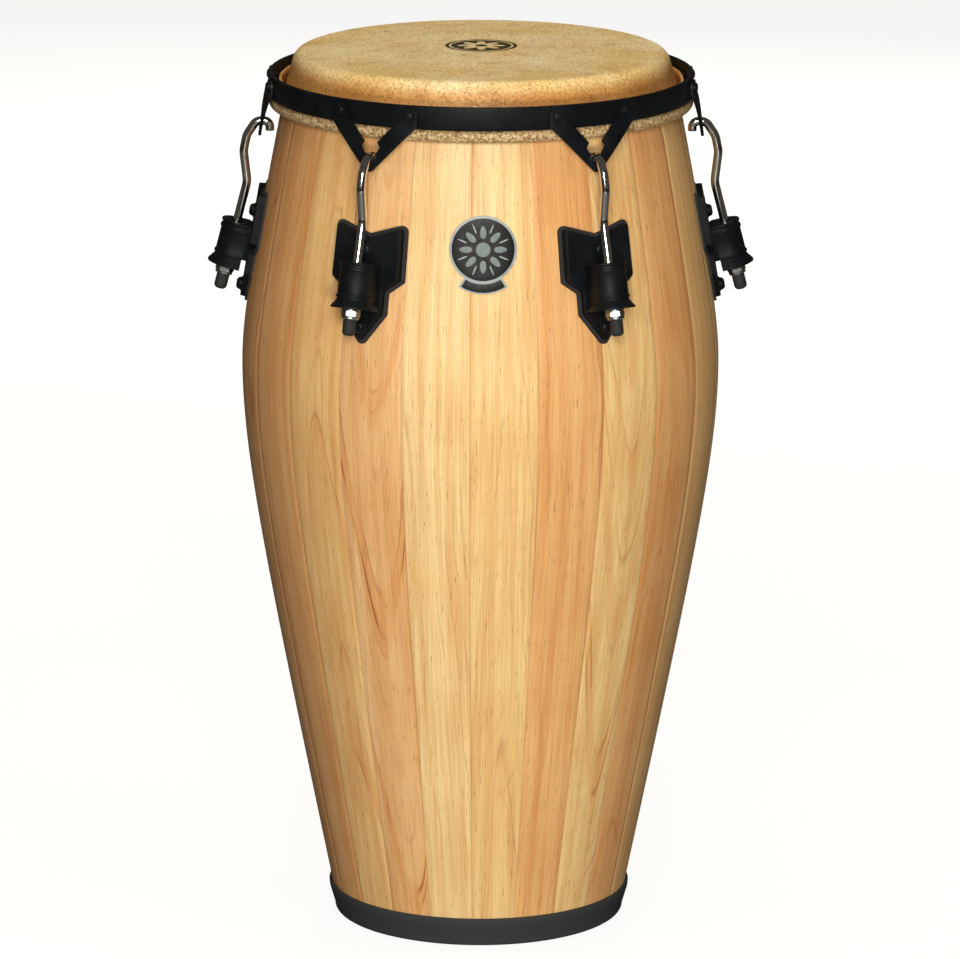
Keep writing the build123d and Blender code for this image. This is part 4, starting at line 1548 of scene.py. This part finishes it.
@dataclass
class TensionHook:
    """One bent hook with its screw thread, end cap and tuning nut."""

    pitch: float = 1.25 * MM
    root_radius: float = 3.45 * MM
    crest_radius: float = 4.0 * MM
    thread_top: float = 17.0 * MM
    thread_bottom: float = -12.0 * MM
    flats: float = 13.0 * MM
    nut_height: float = 4.6 * MM
    nut_top: float = -1.3 * MM
    collar_radius: float = 6.9 * MM
    collar_height: float = 2.1 * MM
    collar_round: float = 0.3 * MM
    bore_radius: float = 4.05 * MM
    bore_chamfer: float = 0.4 * MM
    chamfer_slope: float = 0.55
    chamfer_start: float = 0.985

    def nut_rows(self) -> tuple[list[Point], int]:
        """The nut's outline as (radius, height), and how many rows from the third are cut by flats.

        Returns:
            The outline and the number of rows.
        """
        levels = 5
        flat, corner = self.flats / 2, self.flats / math.sqrt(3)
        deep = (corner - flat) * self.chamfer_slope
        start = flat * self.chamfer_start
        limits = [start + (corner - start) * (i / levels) ** 0.6 for i in range(levels + 1)]
        drops = [deep - deep * (1 - i / levels) for i in range(levels + 1)]
        rows = [(self.bore_radius, -self.bore_chamfer), (self.bore_radius + self.bore_chamfer, 0.0)]
        rows += [(limit, -drop) for limit, drop in zip(limits, drops)]
        rows += [(limit, drop - self.nut_height) for limit, drop in zip(limits[::-1], drops[::-1])]
        base, end, soft = -self.nut_height, -self.nut_height - self.collar_height, self.collar_round
        rows += [
            (self.collar_radius - soft, base),
            (self.collar_radius, base - soft),
            (self.collar_radius, end + soft),
            (self.collar_radius - soft, end),
            (self.bore_radius + self.bore_chamfer, end),
            (self.bore_radius, end + self.bore_chamfer),
        ]
        return rows, 2 * len(limits)

    def build_nut(self, lug: Lug) -> Piece:
        """The hexagonal nut with chamfered corners and a turned collar.

        Args:
            lug: the station.

        Returns:
            The nut.
        """
        around = 96
        rows, cut = self.nut_rows()
        points, faces, count = [], [], len(rows)
        for i in range(around):
            turn = 2 * math.pi * i / around
            side = (turn + math.pi / 6) % (math.pi / 3) - math.pi / 6
            flat = self.flats / 2 / math.cos(side)
            here, there = i * count, (i + 1) % around * count
            for j, (radius, z) in enumerate(rows):
                r = min(radius, flat) if 2 <= j < 2 + cut else radius
                k = (j + 1) % count
                points.append((r * math.cos(turn), r * math.sin(turn), z))
                faces.append((here + j, there + j, there + k, here + k))
        nut = from_lists(f"nut_{lug.number}_hex", points, faces)
        nut.data.transform(lug.matrix() @ Matrix.Translation((0, 0, self.nut_top)))
        return creased(nut, 24)

    def build_thread(self, lug: Lug, thread: Recipe) -> Piece:
        """The hook's screw thread, as a sleeve on its straight end.

        Args:
            lug: the station.
            thread: the screw thread's recipe.

        Returns:
            The thread.
        """
        draft = linked("thread_draft", bpy.data.meshes.new("thread_draft"))
        piece = thread.make(
            f"hook_{lug.number}_thread", draft, CHROME, Length=self.thread_top - self.thread_bottom,
            Pitch=self.pitch, Root_Radius=self.root_radius, Crest_Radius=self.crest_radius,
        )
        middle = (self.thread_top + self.thread_bottom) / 2
        piece.data.transform(lug.matrix() @ Matrix.Translation((0, 0, middle)))
        piece.data.shade_smooth()
        return creased(piece, 60)

    def build(self, lug: Lug, thread: Recipe) -> dict[str, Piece]:
        """One lug's rod, thread, cap and nut, by part name.

        Args:
            lug: the station.
            thread: the screw thread's recipe.

        Returns:
            Each piece, by part name.
        """
        return {
            "rod": softened(lug.node("tension_hook"), 0.2 * MM),
            "thread": self.build_thread(lug, thread),
            "cap": softened(lug.node("hook_cap"), 0.25 * MM),
            "nut": self.build_nut(lug),
        }

    def dress(self, lug: Lug, made: dict[str, Piece]) -> None:
        """Finishes one lug's moving pieces.

        Args:
            lug: the station.
            made: the pieces by part name.
        """
        hook, nut = lug.node("hook"), lug.node("nut")
        dress(made["rod"], CHROME, hook, "hook_chrome", lug.node("tension_hook"))
        dress(made["thread"], CHROME, hook, "hook_chrome")
        dress(made["cap"], CAP_PLASTIC, hook, "cap_plastic", lug.node("hook_cap"))
        dress(made["nut"], ZINC, nut, "nut_chrome", lug.node("tuning_nut"))


@dataclass(frozen=True)
class Leaf:
    """One petal's sizes: where it starts and ends from the middle, half width and height."""

    start: float
    end: float
    width: float
    lift: float


@dataclass
class Badge:
    """A round enamelled badge with a sunburst and a plain ribbon, bent to the shell."""

    middle: float = 583.7 * MM
    radius: float = 26.3 * MM
    border: float = 1.9 * MM
    ribbon_radius: float = 34.6 * MM
    ribbon_angle: float = 33.5
    base: float = 1.2 * MM
    petals: int = 8
    eye_radius: float = 5.6 * MM

    def wafer(
        self, name: str, radii: Point, turns: Point, lift: Point, cells: tuple[int, int]
    ) -> Piece:
        """A thin curved slab over a polar patch of the badge.

        Args:
            name: the new piece's name.
            radii: inner and outer radius.
            turns: first and last turn in degrees, anticlockwise from the top.
            lift: its bottom and top above the shell.
            cells: divisions along the radius and round the turn.

        Returns:
            The slab.
        """
        soft = 0.12 * MM
        points, faces = [], []
        along, around = cells
        grid = [(i, j) for j in range(around + 1) for i in range(along + 1)]
        for level in lift:
            for i, j in grid:
                radius = radii[0] + (radii[1] - radii[0]) * i / along
                turn = math.radians(turns[0] + (turns[1] - turns[0]) * j / around)
                edge = i == along or (i == 0 and radii[0] > 0)
                drop = soft if edge and level == lift[1] else 0.0
                x, y = -radius * math.sin(turn), radius * math.cos(turn)
                points.append(BARREL.on_front(x, y, level - drop, self.middle))
        row, top = along + 1, len(grid)
        whole = turns[1] - turns[0] >= 360
        for j in range(around):
            for i in range(along):
                a = j * row + i
                faces.append((a, a + 1, a + 1 + row, a + row))
                faces.append(tuple(top + k for k in (a, a + row, a + 1 + row, a + 1)))
            ends = [along] if radii[0] == 0 else [0, along]
            for i in ends:
                a, b = j * row + i, (j + 1) * row + i
                faces.append((a, b, b + top, a + top))
        if not whole:
            for j in (0, around):
                for i in range(along):
                    a = j * row + i
                    faces.append((a, a + 1, a + 1 + top, a + top))
        return creased(from_lists(name, points, faces), 45)

    def petal(self, turn: float, leaf: Leaf) -> tuple[list[Any], list[tuple[int, ...]]]:
        """One pillowed petal.

        Args:
            turn: where it points, in radians from the top.
            leaf: the petal's sizes.

        Returns:
            Its points and its faces.
        """
        along, across = 14, 8
        points, faces = [], []
        for i in range(along + 1):
            share = i / along
            reach = leaf.start + (leaf.end - leaf.start) * share
            half = leaf.width * math.sin(math.pi * min(1.0, share * 0.9 + 0.1)) ** 0.7
            for j in range(across + 1):
                side = -1 + 2 * j / across
                x = half * side * math.cos(turn) + reach * math.sin(turn)
                y = -half * side * math.sin(turn) + reach * math.cos(turn)
                rise = leaf.lift * (1 - side**4) * (1 - (2 * share - 1) ** 6)
                points.append(BARREL.on_front(x, y, self.base + 0.05 * MM + rise, self.middle))
        below = len(points)
        points += [(x, y + 0.25 * MM, z) for x, y, z in points]
        row = across + 1
        for i in range(along):
            for j in range(across):
                a = i * row + j
                faces.append((a, a + 1, a + 1 + row, a + row))
                faces.append(tuple(below + k for k in (a, a + row, a + 1 + row, a + 1)))
        rim = [*range(row), *(i * row + across for i in range(1, along + 1))]
        rim += [along * row + j for j in range(across - 1, -1, -1)]
        rim += [i * row for i in range(along - 1, 0, -1)]
        for a, b in zip(rim, rim[1:] + rim[:1]):
            faces.append((a, b, b + below, a + below))
        return points, faces

    def burst(self, name: str, leaf: Leaf, offset: float) -> Piece:
        """A ring of petals as one piece.

        Args:
            name: the new piece's name.
            leaf: the sizes of each petal.
            offset: the first petal's turn from the top, as a share of the step between two.

        Returns:
            The ring.
        """
        points, faces = [], []
        for k in range(self.petals):
            more, sides = self.petal(2 * math.pi * (k + offset) / self.petals, leaf)
            faces += [tuple(i + len(points) for i in side) for side in sides]
            points += more
        return from_lists(name, points, faces)

    def build(self) -> list[tuple[Piece, Finish]]:
        """The badge's layers from the shell outwards, each with its finish.

        Returns:
            The layers.
        """
        first, last = 180 - self.ribbon_angle, 180 + self.ribbon_angle
        inset = 2 * math.degrees(self.border / 2 / self.ribbon_radius)
        foot, base, field = 0.03 * MM, self.base, self.base + 0.14 * MM
        whole, step = (0, 360), 0.25 * MM
        ribbon = (self.radius - 0.6 * MM, self.ribbon_radius)
        ribbon_field = (self.radius + 0.5 * MM, self.ribbon_radius - 1.1 * MM)
        petals = Leaf(7.5 * MM, 19.5 * MM, 3.3 * MM, 0.5 * MM)
        rays = Leaf(12.5 * MM, 22.3 * MM, 0.9 * MM, 0.45 * MM)
        plate = self.wafer("badge_plate", (0, self.radius), whole, (foot, base + step), (14, 96))
        band = self.wafer("badge_ribbon", ribbon, (first, last), (foot, base), (5, 32))
        inner = self.radius - self.border
        dark = self.wafer("badge_field", (0, inner), whole, (base, field + step), (12, 96))
        turns, lifts = (first + inset, last - inset), (base - 0.2 * MM, field)
        dark_band = self.wafer("badge_ribbon_field", ribbon_field, turns, lifts, (4, 30))
        sun, beams = self.burst("badge_petals", petals, 0.0), self.burst("badge_rays", rays, 0.5)
        eye = self.wafer("badge_eye", (0, self.eye_radius), whole, (base, base + 0.55 * MM), (4, 40))
        return [
            (plate, BADGE_SILVER),
            (band, BADGE_SILVER),
            (dark, BADGE_BLACK),
            (dark_band, BADGE_BLACK),
            (sun, BADGE_GREY),
            (beams, BADGE_SILVER),
            (eye, BADGE_GREY),
        ]

    def dress(self, layers: list[tuple[Piece, Finish]]) -> None:
        """Finishes the layers; the plate stands for the CAD node."""
        for number, (piece, finish) in enumerate(layers):
            dress(piece, finish, "shell", "badge_metal", *(["badge"] if number == 0 else []))


# ---- Studio ------------------------------------------------------------------------------------------
@dataclass
class Studio:
    """Floor, lights and camera."""

    camera_back: float = 5.326
    camera_turn: float = -0.6
    camera_height: float = 1.634
    camera_pitch: float = 76.53
    camera_roll: float = 0.19
    lens: float = 253.6
    floor_radius: float = 40.0

    def light(
        self, name: str, place: tuple[float, float, float], size: Point, power: float, colour: Colour
    ) -> Piece:
        """An area light aimed at the middle of the drum.

        Args:
            name: the light's name.
            place: where it stands, in metres.
            size: its width and height.
            power: its power in watts.
            colour: its colour.

        Returns:
            The light's object.
        """
        data = bpy.data.lights.new(name, "AREA")
        data.shape = "RECTANGLE"
        data.size, data.size_y = size
        data.energy = power
        data.color = colour[:3]
        lamp = bpy.data.objects.new(name, data)
        lamp.location = place
        aim = Vector((0, 0, CAD_BOX[1].z * 0.55)) - lamp.location
        lamp.rotation_euler = aim.to_track_quat("-Z", "Y").to_euler()
        bpy.context.scene.collection.objects.link(lamp)
        return lamp

    def build_floor(self) -> None:
        """A wide round floor."""
        count = 64
        turns = [2 * math.pi * i / count for i in range(count)]
        ring = [(self.floor_radius * math.cos(a), self.floor_radius * math.sin(a), 0.0) for a in turns]
        mesh = bpy.data.meshes.new("studio_floor")
        mesh.from_pydata(ring, [], [tuple(range(count))])
        mesh.materials.append(PaleFloor("pale_floor").material())
        linked("studio_floor", mesh)

    def build_world(self) -> None:
        """A pale backdrop that lights the drum less than it shows."""
        world = bpy.data.worlds.new("studio")
        bpy.context.scene.world = world
        world.use_nodes = True
        world.node_tree.nodes.clear()
        graph = Graph(world.node_tree)
        seen = graph.add("ShaderNodeBackground", {"Color": shade("fdfdfc"), "Strength": 1.0})
        felt = graph.add("ShaderNodeBackground", {"Color": shade("f1e4d2"), "Strength": 0.07})
        ray = graph.add("ShaderNodeLightPath").outputs["Is Camera Ray"]
        mixed = graph.add("ShaderNodeMixShader", {0: ray, 1: felt.outputs[0], 2: seen.outputs[0]})
        graph.add("ShaderNodeOutputWorld", {"Surface": mixed.outputs[0]})

    def build_camera(self) -> None:
        """A long lens in front, looking a little down."""
        data = bpy.data.cameras.new("camera")
        data.lens = self.lens
        data.sensor_width = 36.0
        camera = bpy.data.objects.new("camera", data)
        turn = math.radians(self.camera_turn)
        aside, back = self.camera_back * math.sin(turn), self.camera_back * math.cos(turn)
        camera.location = (aside, -back, self.camera_height)
        camera.rotation_euler = (math.radians(self.camera_pitch), 0.0, turn)
        camera.rotation_euler.rotate_axis("Z", math.radians(self.camera_roll))
        bpy.context.scene.collection.objects.link(camera)
        bpy.context.scene.camera = camera

    def build(self) -> None:
        """Everything round the drum."""
        self.build_floor()
        self.build_world()
        self.build_camera()
        white, warm = shade("fffdf8"), shade("fff2e0")
        self.light("front_key", (-0.15, -3.6, 1.8), (1.4, 1.0), 86.0, white)
        self.light("front_low", (0.3, -3.4, 0.25), (1.2, 0.6), 72.0, white).visible_glossy = False
        self.light("top_soft", (0.0, -0.5, 3.2), (2.2, 2.2), 40.0, white).visible_glossy = False
        self.light("back_key", (0.4, 3.8, 1.5), (1.2, 1.0), 80.0, warm).visible_glossy = False
        settings = bpy.context.scene.view_settings
        settings.view_transform = "Standard"
        settings.look = "None"


def main() -> None:
    """Builds the drum from the floor up, and then the studio."""
    logging.basicConfig(level=logging.INFO, format="%(name)s %(message)s")
    stations = lugs()
    ring, thread = ring_recipe(), thread_recipe()
    shell, foot, head, rim = Shell(), RubberFoot(), DrumHead(), Rim()
    shell.dress(shell.build(ring))
    foot.dress(foot.build())
    head.dress(head.build())
    rim.dress(rim.build(ring, stations))
    hardware, hook = SideHardware(), TensionHook()
    hardware.dress_fasteners()
    for lug in stations:
        hardware.dress(hardware.build(lug))
        hook.dress(lug, hook.build(lug, thread))
    badge = Badge()
    badge.dress(badge.build())
    Studio().build()


if __name__ == "__main__":
    main()
